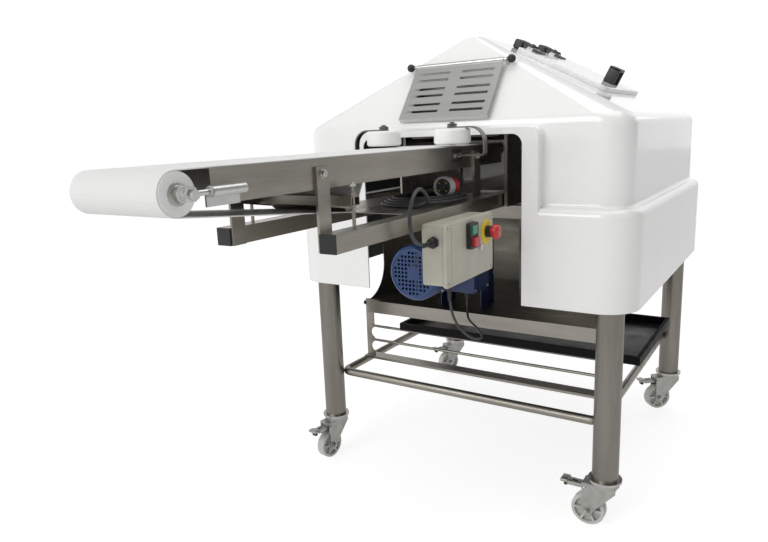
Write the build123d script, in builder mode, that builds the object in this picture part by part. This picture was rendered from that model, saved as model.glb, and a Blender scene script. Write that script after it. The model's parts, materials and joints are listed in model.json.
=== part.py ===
"""Croissant machine: white canopy on four caster legs, front conveyor, rollers, controls and drive.

Millimetres, +Z up, the conveyor points to -Y. Heights are above the floor. Places along Y are worked out
from the axis of the front legs, so that the origin is under the middle of the whole machine.
"""
import os
from math import asin, atan2, cos, degrees, hypot, pi, radians, sin, sqrt, tan

from build123d import *

os.makedirs("parts", exist_ok=True)

# Clearances
fit = 0.05
gap = 0.3
slide_gap = 0.4
through = 10.0

# Stand
leg_d = 76.0
leg_wall = 2.0
leg_x = 500.0
leg_pitch_y = 1000.0
leg_bottom = 160.0
frame_top = 955.0
frame_tube = 40.0
frame_wall = 3.0
ring_d = 97.0
ring_t = 8.0
kingpin_r = 8.0
kingpin_len = 26.0
bracket_w = 60.0
cross_front = 80.0
cross_mid = 420.0
cross_rear = 940.0

# Casters
wheel_r = 50.0
wheel_w = 32.0
wheel_hub_r = 16.0
wheel_rim = 10.0
wheel_web = 10.0
wheel_spoke = 6.0
wheel_edge = 4.0
spoke_count = 6
hub_w = 40.0
trail = 45.0
axle_r = 6.0
axle_head_r = 10.0
axle_head_t = 5.0
cheek_t = 4.0
cheek_gap = 1.0
swivel_r = 42.0
swivel_t = 12.0
crown_t = 8.0
crown_back = 36.0
crown_front = 62.0
pedal_pin_r = 4.0
pedal_knuckle_r = 8.0
pedal_pin_out = 54.0
pedal_len = 64.0
pedal_w = 30.0
pedal_t = 4.0
pedal_pad = 14.0
trail_angle_fr = 180.0
trail_angle_fl = 263.0
trail_angle_rr = 219.0
trail_angle_rl = 240.0

# Canopy
wall = 5.0
skirt_over_x = 75.0
skirt_over_y = 80.0
skirt_drop = 273.0
skirt_r = 100.0
ledge_rise = 10.0
ledge_round = 22.0
block_step_x = 30.0
block_step_y = 42.0
block_r = 80.0
eave_rise = 243.0
eave_round = 40.0
roof_rise = 267.0
ridge_half_x = 25.0
ridge_r = 20.0
ridge_round = 12.0
pane_run = 208.0
portal_half = 312.0
portal_drop = 18.0
portal_round = 30.0
opening_half = 266.0
opening_drop = 18.0
opening_r = 30.0

# Inlet guard on the front pane
guard_half = 148.0
guard_len = 200.0
guard_start = 6.0
guard_lift = 20.0
guard_t = 2.0
guard_lip = 14.0
slot_half = 54.0
slot_h = 9.0
slot_step = 30.0
slot_pair = 13.0
slot_rows = 3
hinge_rod_r = 4.0
hinge_knuckle_r = 7.0
knob_r = 12.0
rod_half = 172.0
post_x = 156.0
post_r = 6.0
inlet_half = 128.0
inlet_from = 36.0
inlet_to = 166.0

# Roof hatch
hatch_y = 477.0
hatch_len = 440.0
hatch_top = 96.0
hatch_run = 325.0
hatch_t = 14.0
hatch_edge = 5.0
hatch_lap = 25.0
hatch_hinge_dy = 110.0
hatch_hinge_w = 44.0
hatch_hinge_run = 34.0
hatch_pin_set = 2.0
hatch_pin_r = 3.0
hatch_pin_out = 18.0
hatch_ear_r = 8.0
hatch_ear_w = 14.0
handle_w = 65.0
handle_h = 55.0
handle_r = 6.5
handle_down = 270.0

# Conveyor
conveyor_reach = 1145.0
roller_r = 36.0
roller_inset = 5.0
roller_hub_r = 13.0
roller_hub = 15.0
belt_t = 2.0
belt_inset = 7.0
bed_half = 120.0
bed_wall = 2.0
bed_h = 60.0
bed_rise = 148.0
bed_back = 65.0
nose_r = 16.0
nose_y = 140.0
nose_journal_r = 8.0
tension_r = 18.0
tension_back = 465.0
tension_drop = 101.0
tension_inset = 15.0
tension_pin_r = 6.0
tension_pivot_drop = 83.0
tension_pivot_r = 5.0
tension_arm_t = 5.0
tension_arm_r = 12.0
tension_bar_ahead = 40.0
tension_bar_w = 30.0
tension_bar_h = 20.0
tension_bar_over = 6.0
tension_bar_drop = 91.0
tension_bolt_r = 4.0
tension_bolt_drop = 55.0
return_bar_r = 8.0
return_bar_back = 530.0
rail_tube = 40.0
rail_wall = 3.0
rail_back = 334.0
rail_rear = 980.0
upright_w = 40.0
upright_t = 6.0
upright_rear_y = 68.0
upright_drop = 15.0
shelf_t = 1.5
shelf_front = 490.0
shelf_rear = 20.0
cap_t = 4.0
cap_plug = 12.0
front_axle_r = 8.0
front_axle_end = 16.0
eye_w = 12.0
eye_h = 24.0
screw_r = 5.0
tube_r = 9.0
tube_len = 75.0
tube_back = 50.0
plate_drop = 26.0

# Guide discs
disc_r = 50.0
disc_h = 43.0
disc_inset = 9.0
disc_y = 195.0
disc_lift = 7.0
disc_edge = 8.0
disc_bolt_r = 6.0
disc_head_r = 11.0
disc_head_h = 9.0
washer_r = 9.0
washer_t = 2.0
strap_w = 20.0
strap_t = 4.0
strap_over = 42.0
strap_drop = 23.0
strap_bend = 42.0
foot_w = 60.0
foot_h = 34.0

# Roller frame and working rollers
plate_gap = 4.0
plate_t = 10.0
plate_front = 25.0
plate_rear = 330.0
plate_foot = 440.0
plate_foot_h = 55.0
plate_shoulder_drop = 43.0
plate_rise = 227.0
plate_nose_rise = 112.0
plate_lean_y = 130.0
journal_r = 10.0
journal_out = 6.0
work_inset = 20.0
sheeter_r = 42.0
sheeter_y = 150.0
sheeter_rise = 100.0
dough_gap = 3.0
cutter_r = 52.0
cutter_y = 262.0
cutter_rise = 169.0
blade_h = 3.0
blade_w = 4.0
blade_count = 6
moulder_r = 42.0
moulder_y = 50.0
moulder_rise = 60.0
groove_r = 3.0
groove_count = 12
gear_t = 10.0
sheet_t = 2.0
chute_front_y = 38.0
chute_front_rise = 125.0
chute_rear_y = 102.0
chute_rear_rise = 139.0
slide_rear_y = 316.0
slide_rear_rise = 95.0
slide_front_y = 170.0
slide_front_rise = 9.0

# Motor and gearbox
motor_x = -83.0
motor_drop = 203.0
cowl_front = 100.0
cowl_r = 90.0
cowl_len = 84.0
cowl_wall = 2.0
cowl_round = 16.0
cowl_hole = 8.0
cowl_pitch = 13.0
cowl_holes_r = 70.0
motor_r = 80.0
fin_depth = 9.0
fin_w = 5.0
fin_count = 30
motor_len = 330.0
shield_t = 16.0
shaft_r = 12.0
fan_r = 80.0
fan_t = 20.0
fan_hub_r = 30.0
blade_t = 4.0
fan_blades = 8
terminal_w = 78.0
terminal_len = 110.0
terminal_h = 90.0
terminal_y = 10.0
terminal_dz = -30.0
gearbox_w = 160.0
gearbox_len = 110.0
gearbox_h = 160.0
gearbox_round = 20.0
output_r = 14.0
sprocket_r = 45.0
sprocket_t = 8.0
chain_t = 7.0
chain_gap = 0.5
chain_out = 15.0

# Drip pan
pan_half = 445.0
pan_front = 160.0
pan_rear = 700.0
pan_drop = 390.0
pan_lip = 47.0
pan_t = 2.0
pan_cove = 125.0
pan_panel_y = 430.0
pan_panel_from = 60.0
pan_panel_h = 305.0

# Lower rack and tray
hoop_r = 14.0
hoop_bend = 30.0
hoop_z = 320.0
bar_w = 50.0
bar_t = 6.0
bar_front_y = 190.0
bar_rear_y = 640.0
notch_w = 34.0
notch_t = 5.0
notch_r = 22.0
rod_r = 5.0
rod_low_rise = 80.0
rod_high_rise = 136.0
tray_left = 310.0
tray_right = 550.0
tray_front = 172.0
tray_rear = 658.0
tray_h = 26.0
tray_t = 2.0
tray_rim = 12.0

# Control box
box_len = 262.0
box_h = 150.0
box_base = 58.0
box_wall = 3.0
box_r = 8.0
box_y = 341.0
box_drop = 61.0
cover_t = 10.0
cover_lap = 4.0
cover_r = 10.0
estop_in = 43.0
estop_dz = 30.0
collar_r = 33.0
collar_t = 4.0
neck_r = 15.0
neck_h = 12.0
stem_r = 11.0
stem_in = 8.0
estop_r = 20.0
estop_h = 18.0
estop_lift = 6.5
estop_round = 6.0
button_dy = -8.0
button_mid_dz = 34.0
button_body_w = 46.0
button_body_h = 66.0
button_body_t = 14.0
button_w = 28.0
button_h = 22.0
button_dz = 15.0
button_seat = 5.0
start_proud = 2.0
stop_proud = 9.0
key_in = 81.0
key_dz = -6.0
key_r = 8.0
key_stem_r = 6.0
key_proud = 7.0
key_slot_w = 2.5
key_slot_len = 9.0
gland_r = 12.0
gland_len = 20.0
gland_nut_r = 15.0
gland_nut_t = 8.0
mains_gland_out = 32.0
mains_gland_dz = 33.0
lead_gland_out = 29.0
lead_gland_dy = -49.0

# Cables
mains_d = 9.0
lead_d = 7.0
coil_x = 50.0
coil_front = 275.0
coil_rear = 195.0
coil_r = 100.0
coil_pitch = 10.0
coil_arcs = 7
coil_tail = 30.0
plug_x = 81.0
plug_r = 29.0
plug_len = 84.0
plug_ring_len = 26.0
plug_body_r = 24.0
plug_boss_r = 13.0
plug_boss_len = 16.0
plug_rear = 118.0

# Places worked out from the driving sizes
belt_reach = roller_r + gap + belt_t
front_reach = conveyor_reach + belt_reach
rear_reach = leg_pitch_y + skirt_over_y
front_y = (front_reach - rear_reach) / 2
rear_y = front_y + leg_pitch_y
mid_y = (front_y + rear_y) / 2
leg_r = leg_d / 2
skirt_half = leg_x + skirt_over_x
skirt_len = leg_pitch_y + 2 * skirt_over_y
block_half = skirt_half - block_step_x
block_len = skirt_len - 2 * block_step_y
block_front = mid_y - block_len / 2
ledge_z = frame_top + ledge_rise
eave_z = ledge_z + eave_rise
ridge_z = eave_z + roof_rise
skirt_bottom = frame_top - skirt_drop
portal_top = eave_z - portal_drop
opening_top = portal_top - opening_drop
pane_len = hypot(roof_rise, pane_run)
slope_len = hypot(roof_rise, block_half - ridge_half_x)
pane_plane = Plane(
    origin=(0, block_front, eave_z),
    x_dir=(1, 0, 0),
    z_dir=(0, -roof_rise / pane_len, pane_run / pane_len),
)
slope_plane = Plane(
    origin=(ridge_half_x, front_y + hatch_y, ridge_z),
    x_dir=(0, 1, 0),
    z_dir=(roof_rise / slope_len, 0, (block_half - ridge_half_x) / slope_len),
)
rail_out = bed_half + upright_t + rail_tube
rail_in = bed_half + upright_t
belt_half = bed_half - belt_inset
roller_half = bed_half - roller_inset
tension_half = bed_half - tension_inset
tension_bar_half = (rail_in + rail_out) / 2 + tension_bar_over
disc_x = bed_half - disc_inset
strap_out = rail_out + strap_over
plate_half = rail_out + plate_gap
plate_out = plate_half + plate_t
work_half = plate_half - work_inset
chain_x = plate_out + chain_out
rail_bottom = frame_top
rail_top = rail_bottom + rail_tube
bed_top = rail_top + bed_rise
roller_y = front_y - conveyor_reach
roller_z = bed_top - roller_r
rail_y0 = roller_y + rail_back
rail_y1 = front_y + rail_rear
pivot_y = rail_y0 + upright_w / 2
pivot_z = bed_top - tension_pivot_drop
tension_place_y = roller_y + tension_back
tension_z = bed_top - tension_drop
nose_place_y = front_y + nose_y
nose_z = bed_top - nose_r
return_bar_y = roller_y + return_bar_back
return_bar_z = nose_z - nose_r - 2 * gap - belt_t - return_bar_r
ring_bottom = leg_bottom - ring_t
swivel_top = ring_bottom - gap
crown_top = swivel_top - swivel_t
crown_bottom = crown_top - crown_t
cheek_in = hub_w / 2 + cheek_gap
cheek_out = cheek_in + cheek_t
pedal_z = crown_bottom - pedal_knuckle_r - gap
frame_low = frame_top - frame_tube
side_in = leg_x - frame_tube / 2
cover_in = rail_out + box_base
cover_out = cover_in + cover_t
box_mid_y = front_y - box_y
box_front = box_mid_y - box_len / 2
box_z = frame_top - box_drop
box_low = box_z - box_h / 2
motor_z = frame_top - motor_drop
pan_floor = frame_top - pan_drop
rod_low_z = hoop_z + rod_low_rise
rod_high_z = hoop_z + rod_high_rise
motor_front = front_y - cowl_front
motor_rear = motor_front + motor_len
gearbox_mid = motor_rear + gearbox_len / 2
sheeter_low_z = bed_top + sheeter_rise
sheeter_high_z = sheeter_low_z + 2 * sheeter_r + dough_gap
cutter_z = bed_top + cutter_rise
moulder_z = bed_top + moulder_rise


def block(x0, x1, y0, y1, z0, z1, mode=Mode.ADD):
    """Box between two corners, in the part being built."""
    with Locations(((x0 + x1) / 2, (y0 + y1) / 2, (z0 + z1) / 2)):
        Box(x1 - x0, y1 - y0, z1 - z0, mode=mode)


def rod_x(x0, x1, y, z, radius, mode=Mode.ADD):
    """Round bar along X."""
    with Locations(Location(((x0 + x1) / 2, y, z), (0, 90, 0))):
        Cylinder(radius, x1 - x0, mode=mode)


def rod_y(x, y0, y1, z, radius, mode=Mode.ADD):
    """Round bar along Y."""
    with Locations(Location((x, (y0 + y1) / 2, z), (90, 0, 0))):
        Cylinder(radius, y1 - y0, mode=mode)


def rod_z(x, y, z0, z1, radius, mode=Mode.ADD):
    """Round bar along Z."""
    with Locations((x, y, (z0 + z1) / 2)):
        Cylinder(radius, z1 - z0, mode=mode)


def tube_box(x0, x1, y0, y1, z0, z1, along, thickness):
    """Square tube between two corners, open along X or Y."""
    block(x0, x1, y0, y1, z0, z1)
    dx = -through if along == "x" else thickness
    dy = -through if along == "y" else thickness
    block(x0 + dx, x1 - dx, y0 + dy, y1 - dy, z0 + thickness, z1 - thickness, Mode.SUBTRACT)


def cable(points, diameter):
    """Round cable along hand-set points; prints its length and radii."""
    spots = [Vector(*p) for p in points]
    radii = []
    for a, b, c in zip(spots, spots[1:], spots[2:]):
        turn = radians((b - a).get_angle(c - b))
        radii.append(0.45 * min((b - a).length, (c - b).length) / tan(turn / 2))
    with BuildPart() as tube:
        with BuildLine() as route:
            FilletPolyline(*points, radius=radii)
        with BuildSketch(Plane(origin=spots[0], z_dir=spots[1] - spots[0])):
            Circle(diameter / 2)
        sweep(path=route.line)
    length = route.wire().length
    volume = pi * diameter**2 / 4 * length
    print("cable", round(length), "mm, radii", [round(r) for r in radii],
          "volume ratio", round(tube.part.volume / volume, 4))
    return tube.part


def least_gap(path, diameter):
    """Smallest space between turns of a round cable, measured on points along its path."""
    count = int(2 * path.length / diameter)
    spots = [path @ (i / count) for i in range(count + 1)]
    apart = 8
    return min((a - b).length for i, a in enumerate(spots) for b in spots[i + apart:]) - diameter


# Legs with their flange rings and caster kingpins
with BuildPart() as leg_form:
    rod_z(0, 0, leg_bottom, frame_top, leg_r)
    rod_z(0, 0, leg_bottom, frame_top + through, leg_r - leg_wall, Mode.SUBTRACT)
    rod_z(0, 0, ring_bottom, leg_bottom, ring_d / 2)
    rod_z(0, 0, ring_bottom - kingpin_len, ring_bottom, kingpin_r)

with BuildPart() as legs:
    for leg_side in (-leg_x, leg_x):
        for leg_y in (front_y, rear_y):
            with Locations((leg_side, leg_y, 0)):
                add(leg_form.part)
legs.part.label = "legs"
export_step(legs.part, "parts/legs.step")

# Casters, drawn with the trail along +X and then turned at each leg
with BuildPart() as fork_form:
    rod_z(0, 0, crown_top, swivel_top, swivel_r)
    block(-crown_back, crown_front, -cheek_out, cheek_out, crown_bottom, crown_top)
    for cheek_y in (-cheek_out, cheek_in):
        with BuildSketch(Plane.XZ.offset(-cheek_y)):
            with BuildLine():
                Polyline(
                    (-crown_back, crown_top),
                    (crown_front, crown_top),
                    (crown_front, pedal_z - pedal_knuckle_r),
                    (trail + wheel_hub_r, wheel_r),
                    (trail - wheel_hub_r, wheel_r),
                    (-crown_back, crown_bottom - crown_t),
                    close=True,
                )
            make_face()
            with Locations((trail, wheel_r)):
                Circle(wheel_hub_r)
        extrude(amount=-cheek_t)
    rod_y(trail, -cheek_out - axle_head_t, cheek_out + axle_head_t, wheel_r, axle_r)
    for head_y in (-cheek_out - axle_head_t, cheek_out):
        rod_y(trail, head_y, head_y + axle_head_t, wheel_r, axle_head_r)
    rod_y(pedal_pin_out, -cheek_out, cheek_out, pedal_z, pedal_pin_r)
    rod_z(0, 0, crown_bottom - through, swivel_top + through, kingpin_r + fit, Mode.SUBTRACT)

with BuildPart() as wheel_form:
    rod_y(trail, -wheel_w / 2, wheel_w / 2, wheel_r, wheel_r)
    fillet(wheel_form.edges().filter_by(GeomType.CIRCLE), wheel_edge)
    for recess_y in (-wheel_w / 2, wheel_web / 2):
        with BuildSketch(Plane.XZ.offset(-recess_y)):
            with Locations((trail, wheel_r)):
                Circle(wheel_r - wheel_rim)
                Circle(wheel_hub_r, mode=Mode.SUBTRACT)
                with PolarLocations(0, spoke_count):
                    Rectangle(wheel_r, wheel_spoke, align=(Align.MIN, Align.CENTER), mode=Mode.SUBTRACT)
        extrude(amount=-(wheel_w - wheel_web) / 2, mode=Mode.SUBTRACT)
    rod_y(trail, -hub_w / 2, hub_w / 2, wheel_r, wheel_hub_r)
    rod_y(trail, -hub_w, hub_w, wheel_r, axle_r + fit, Mode.SUBTRACT)

with BuildPart() as pedal_form:
    rod_y(pedal_pin_out, -pedal_w / 2, pedal_w / 2, pedal_z, pedal_knuckle_r)
    pedal_end = pedal_pin_out + pedal_len
    block(pedal_pin_out, pedal_end, -pedal_w / 2, pedal_w / 2, pedal_z, pedal_z + pedal_t)
    block(pedal_end - pedal_pad, pedal_end, -pedal_w / 2, pedal_w / 2, pedal_z - pedal_pad / 2, pedal_z)
    rod_y(pedal_pin_out, -pedal_w, pedal_w, pedal_z, pedal_pin_r + fit, Mode.SUBTRACT)

corner_fr = Location((leg_x, front_y, 0), (0, 0, trail_angle_fr))
corner_fl = Location((-leg_x, front_y, 0), (0, 0, trail_angle_fl))
corner_rr = Location((leg_x, rear_y, 0), (0, 0, trail_angle_rr))
corner_rl = Location((-leg_x, rear_y, 0), (0, 0, trail_angle_rl))
for corner_name, corner in (("fr", corner_fr), ("fl", corner_fl), ("rr", corner_rr), ("rl", corner_rl)):
    for piece_name, piece_form in (("fork", fork_form), ("wheel", wheel_form), ("pedal", pedal_form)):
        with BuildPart() as caster_piece:
            with Locations(corner):
                add(piece_form.part)
        caster_piece.part.label = f"caster_{piece_name}_{corner_name}"
        export_step(caster_piece.part, f"parts/caster_{piece_name}_{corner_name}.step")

# Welded top frame that carries the canopy, the conveyor tubes and the roller frame
with BuildPart() as top_frame:
    for beam_x in (-leg_x, leg_x):
        start = front_y + leg_r + gap
        end = rear_y - leg_r - gap
        tube_box(beam_x - frame_tube / 2, beam_x + frame_tube / 2, start, end, frame_low, frame_top,
                 "y", frame_wall)
    for cross in (cross_front, cross_mid, cross_rear):
        cross_y = front_y + cross
        block(-side_in, side_in, cross_y - frame_tube / 2, cross_y + frame_tube / 2, frame_low, frame_top)
        block(-side_in + frame_wall, side_in - frame_wall, cross_y - frame_tube / 2 + frame_wall,
              cross_y + frame_tube / 2 - frame_wall, frame_low + frame_wall, frame_top - frame_wall,
              Mode.SUBTRACT)
    for hold_y in (front_y + leg_pitch_y / 5, rear_y - leg_pitch_y / 5):
        for hold_side in (-1, 1):
            hold_in = hold_side * side_in
            hold_out = hold_side * (skirt_half - ledge_round - slide_gap)
            block(min(hold_in, hold_out), max(hold_in, hold_out), hold_y - bracket_w / 2,
                  hold_y + bracket_w / 2, frame_top, ledge_z - wall)
top_frame.part.label = "top_frame"
export_step(top_frame.part, "parts/top_frame.step")

# Lower rack: bent hoop between the legs, flat bars, notched uprights and rods
hoop_corner = (hoop_bend + leg_r + hoop_r + gap) / sqrt(2)
hoop_inset = hoop_corner - hoop_bend
hoop_half_x = leg_x - hoop_inset
hoop_half_y = leg_pitch_y / 2 - hoop_inset
bar_low = hoop_z + hoop_r
bar_high = bar_low + bar_t
notch_out = hoop_half_x
with BuildPart() as lower_rack:
    with BuildLine(Plane.XY.offset(hoop_z)) as hoop_path:
        FilletPolyline(
            (-hoop_half_x, mid_y - hoop_half_y),
            (hoop_half_x, mid_y - hoop_half_y),
            (hoop_half_x, mid_y + hoop_half_y),
            (-hoop_half_x, mid_y + hoop_half_y),
            radius=hoop_bend,
            close=True,
        )
    with BuildSketch(Plane(origin=hoop_path.line @ 0, z_dir=hoop_path.line % 0)):
        Circle(hoop_r)
    sweep(path=hoop_path.line)
    for bar in (bar_front_y, bar_rear_y):
        bar_y = front_y + bar
        block(-hoop_half_x, hoop_half_x, bar_y - bar_w / 2, bar_y + bar_w / 2, bar_low - bar_t / 2, bar_high)
        for side, top in ((-1, pan_floor - pan_t), (1, rod_high_z)):
            out_x = side * notch_out
            in_x = side * (notch_out - notch_w)
            block(min(out_x, in_x), max(out_x, in_x), bar_y - notch_t / 2, bar_y + notch_t / 2, bar_high, top)
            for scallop_z in (rod_low_z, rod_high_z):
                rod_y(in_x - side * notch_r / 3, bar_y - notch_t, bar_y + notch_t,
                      scallop_z - notch_r - rod_r, notch_r, Mode.SUBTRACT)
        for rod_height in (rod_low_z, rod_high_z):
            rod_x(-notch_out + notch_w / 2, notch_out - notch_w / 2, bar_y, rod_height, rod_r)
lower_rack.part.label = "lower_rack"
export_step(lower_rack.part, "parts/lower_rack.step")

# Baking tray on the rods
tray_low = rod_high_z + rod_r + gap
with BuildPart() as baking_tray:
    block(-tray_left, tray_right, front_y + tray_front, front_y + tray_rear, tray_low, tray_low + tray_h)
    block(-tray_left + tray_rim, tray_right - tray_rim, front_y + tray_front + tray_rim,
          front_y + tray_rear - tray_rim, tray_low + tray_t, tray_low + tray_h + through, Mode.SUBTRACT)
baking_tray.part.label = "baking_tray"
export_step(baking_tray.part, "parts/baking_tray.step")

# Drip pan with folded lip, coved side walls, inner panel and gearbox pedestal
gearbox_low = motor_z - gearbox_h / 2
with BuildPart() as drip_pan:
    pan_y0 = front_y + pan_front
    pan_y1 = front_y + pan_rear
    block(-pan_half, pan_half, pan_y0, pan_y1, pan_floor - pan_t, pan_floor)
    block(-pan_half, pan_half, pan_y0, pan_y0 + pan_t, pan_floor - pan_lip, pan_floor)
    block(-pan_half, pan_half, pan_y1 - pan_t, pan_y1, pan_floor, frame_low)
    for wall_x in (-pan_half, pan_half - pan_t):
        with BuildSketch(Plane.YZ.offset(wall_x)):
            with BuildLine():
                cove = RadiusArc((pan_y0, pan_floor),
                                 (pan_y0 + pan_cove, pan_floor + pan_cove), -pan_cove)
                Polyline(cove @ 1, (pan_y0 + pan_cove, frame_low), (pan_y1, frame_low),
                         (pan_y1, pan_floor - pan_t), (pan_y0, pan_floor - pan_t), cove @ 0)
            make_face()
        extrude(amount=pan_t)
    panel_y = front_y + pan_panel_y
    block(pan_panel_from, pan_half, panel_y, panel_y + pan_t, pan_floor, pan_floor + pan_panel_h)
    block(motor_x - gearbox_w / 2, motor_x + gearbox_w / 2, motor_rear, motor_rear + gearbox_len,
          pan_floor, gearbox_low)
    block(motor_x - gearbox_w / 2 + box_wall, motor_x + gearbox_w / 2 - box_wall, motor_rear - through,
          motor_rear + gearbox_len + through, pan_floor, gearbox_low - box_wall, Mode.SUBTRACT)
drip_pan.part.label = "drip_pan"
export_step(drip_pan.part, "parts/drip_pan.step")


def roof_form(inset):
    """Upper block with its roof, drawn in by an inset, with rounded eaves and ridge."""
    low = ledge_z - 2 * ledge_round
    eave = eave_z - inset
    with BuildPart() as form:
        with BuildSketch(Plane((0, mid_y, low))):
            RectangleRounded(2 * (block_half - inset), block_len - 2 * inset, block_r - inset)
        extrude(amount=eave - low)
        with BuildSketch(Plane((0, mid_y, eave))):
            RectangleRounded(2 * (block_half - inset), block_len - 2 * inset, block_r - inset)
        with BuildSketch(Plane((0, mid_y, ridge_z - 1.4 * inset))):
            RectangleRounded(2 * ridge_half_x, block_len - 2 * pane_run, ridge_r)
        loft(ruled=True)
        fillet(form.edges().filter_by_position(Axis.Z, eave - fit, eave + fit), eave_round - inset)
        fillet(form.faces().sort_by(Axis.Z)[-1].edges(), ridge_round - inset)
    return form.part


def canopy_form(inset):
    """Closed canopy volume, drawn in by an inset on every side but the bottom."""
    bottom = skirt_bottom - (through if inset else 0)
    with BuildPart() as form:
        with BuildSketch(Plane((0, mid_y, bottom))):
            RectangleRounded(2 * (skirt_half - inset), skirt_len - 2 * inset, skirt_r - inset)
        extrude(amount=ledge_z - inset - bottom)
        fillet(form.edges().group_by(Axis.Z)[-1], ledge_round - inset)
        add(roof_form(inset))
        portal_y = mid_y - skirt_len / 2 + inset
        with BuildSketch(Plane((0, portal_y, 0), x_dir=(1, 0, 0), z_dir=(0, 1, 0))):
            with Locations((0, -(bottom + portal_top - inset) / 2)):
                RectangleRounded(2 * (portal_half - inset), portal_top - inset - bottom, portal_round)
        extrude(amount=block_step_y + block_r)
    return form.part


# Canopy shell with its front opening, dough inlet and hatch opening
canopy_hollow = canopy_form(wall)
with BuildPart() as canopy:
    add(canopy_form(0))
    add(canopy_hollow, mode=Mode.SUBTRACT)
    front_face = mid_y - skirt_len / 2
    with BuildSketch(Plane((0, front_face - through, 0), x_dir=(1, 0, 0), z_dir=(0, 1, 0))):
        opening_low = skirt_bottom - opening_r - through
        with Locations((0, -(opening_low + opening_top) / 2)):
            RectangleRounded(2 * opening_half, opening_top - opening_low, opening_r)
    extrude(amount=through + block_step_y + 2 * wall, mode=Mode.SUBTRACT)
    with BuildSketch(pane_plane.offset(through)):
        with Locations((0, (inlet_from + inlet_to) / 2)):
            RectangleRounded(2 * inlet_half, inlet_to - inlet_from, through)
    extrude(amount=-3 * through, mode=Mode.SUBTRACT)
    with BuildSketch(slope_plane.offset(through)):
        with Locations((0, -hatch_top - hatch_run / 2)):
            RectangleRounded(hatch_len - 2 * hatch_lap, hatch_run - 2 * hatch_lap, hatch_lap)
    extrude(amount=-3 * through, mode=Mode.SUBTRACT)
canopy.part.label = "canopy"
export_step(canopy.part, "parts/canopy.step")

# Roof hatch with hinge ears, in the plane of the right slope
hatch_axis = -hatch_top + hatch_pin_set
hatch_pin_h = gap + hatch_t + hatch_ear_r
hatch_up = Axis((0, 0, 0), tuple(slope_plane.z_dir))
ear_out = hatch_hinge_w / 2 + slide_gap
with BuildPart(slope_plane) as roof_hatch:
    with BuildSketch(slope_plane.offset(gap)):
        with Locations((0, -hatch_top - hatch_run / 2)):
            RectangleRounded(hatch_len, hatch_run, hatch_lap)
    extrude(amount=hatch_t)
    fillet(roof_hatch.faces().sort_by(hatch_up)[-1].edges(), hatch_edge)
    for ear_centre in (-hatch_hinge_dy, hatch_hinge_dy):
        for ear_x in (ear_centre - ear_out - hatch_ear_w, ear_centre + ear_out):
            rod_x(ear_x, ear_x + hatch_ear_w, hatch_axis, hatch_pin_h, hatch_ear_r)
            block(ear_x, ear_x + hatch_ear_w, -hatch_top - hatch_lap, -hatch_top, hatch_t / 2, hatch_pin_h)
        pin_reach = hatch_hinge_w / 2 + 2 * hatch_pin_out
        rod_x(ear_centre - pin_reach, ear_centre + pin_reach, hatch_axis, hatch_pin_h,
              hatch_pin_r + fit, Mode.SUBTRACT)
roof_hatch.part.label = "roof_hatch"
export_step(roof_hatch.part, "parts/roof_hatch.step")

# Two hinge blocks on the roof, each with a lug and its pin
lug_r = hatch_ear_r - cheek_gap
hinge_low = hatch_axis + hatch_ear_r + cheek_gap
with BuildPart(slope_plane) as hatch_hinges:
    for hinge_centre in (-hatch_hinge_dy, hatch_hinge_dy):
        hinge_x0 = hinge_centre - hatch_hinge_w / 2
        hinge_x1 = hinge_centre + hatch_hinge_w / 2
        block(hinge_x0, hinge_x1, hinge_low, hinge_low + hatch_hinge_run, 0, hatch_pin_h + lug_r)
        block(hinge_x0, hinge_x1, hatch_axis, hinge_low, hatch_pin_h - lug_r / 2, hatch_pin_h + lug_r)
        rod_x(hinge_x0, hinge_x1, hatch_axis, hatch_pin_h, lug_r)
        rod_x(hinge_x0 - hatch_pin_out, hinge_x1 + hatch_pin_out, hatch_axis, hatch_pin_h, hatch_pin_r)
hatch_hinges.part.label = "hatch_hinges"
export_step(hatch_hinges.part, "parts/hatch_hinges.step")

# Loop handle on the hatch
handle_low = gap + hatch_t
with BuildPart() as hatch_handle:
    handle_plane = Plane(
        origin=slope_plane.from_local_coords((0, -hatch_top - handle_down, handle_low)),
        x_dir=slope_plane.x_dir,
        z_dir=slope_plane.y_dir,
    )
    with BuildLine(handle_plane) as handle_path:
        grip = handle_w / 2 - handle_r
        FilletPolyline(
            (-grip, 0),
            (-grip, -handle_h + handle_r),
            (grip, -handle_h + handle_r),
            (grip, 0),
            radius=2 * handle_r,
        )
    with BuildSketch(Plane(origin=handle_path.line @ 0, z_dir=handle_path.line % 0)):
        Circle(handle_r)
    sweep(path=handle_path.line)
hatch_handle.part.label = "hatch_handle"
export_step(hatch_handle.part, "parts/hatch_handle.step")

# Inlet guard with slots, folded lip and hinge knuckle, in the plane of the front pane
guard_end = guard_start + guard_len
hinge_s = guard_end + hinge_knuckle_r
with BuildPart(pane_plane) as inlet_guard:
    block(-guard_half, guard_half, guard_start, hinge_s, guard_lift - guard_t / 2, guard_lift + guard_t / 2)
    block(-guard_half, guard_half, guard_start, guard_start + guard_t, guard_lift - guard_lip, guard_lift)
    rod_x(-guard_half, guard_half, hinge_s, guard_lift, hinge_knuckle_r)
    slot_margin = guard_half / 2
    for column in (-slot_margin, slot_margin):
        for row in range(slot_rows):
            pair_s = guard_start + guard_len / 2 + (row - (slot_rows - 1) / 2) * 2 * slot_step
            for slot_s in (pair_s - slot_pair, pair_s + slot_pair):
                block(column - slot_half, column + slot_half, slot_s - slot_h / 2, slot_s + slot_h / 2,
                      guard_lift - guard_t, guard_lift + guard_t, Mode.SUBTRACT)
    rod_x(-guard_half - through, guard_half + through, hinge_s, guard_lift, hinge_rod_r + fit, Mode.SUBTRACT)
inlet_guard.part.label = "inlet_guard"
export_step(inlet_guard.part, "parts/inlet_guard.step")

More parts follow.
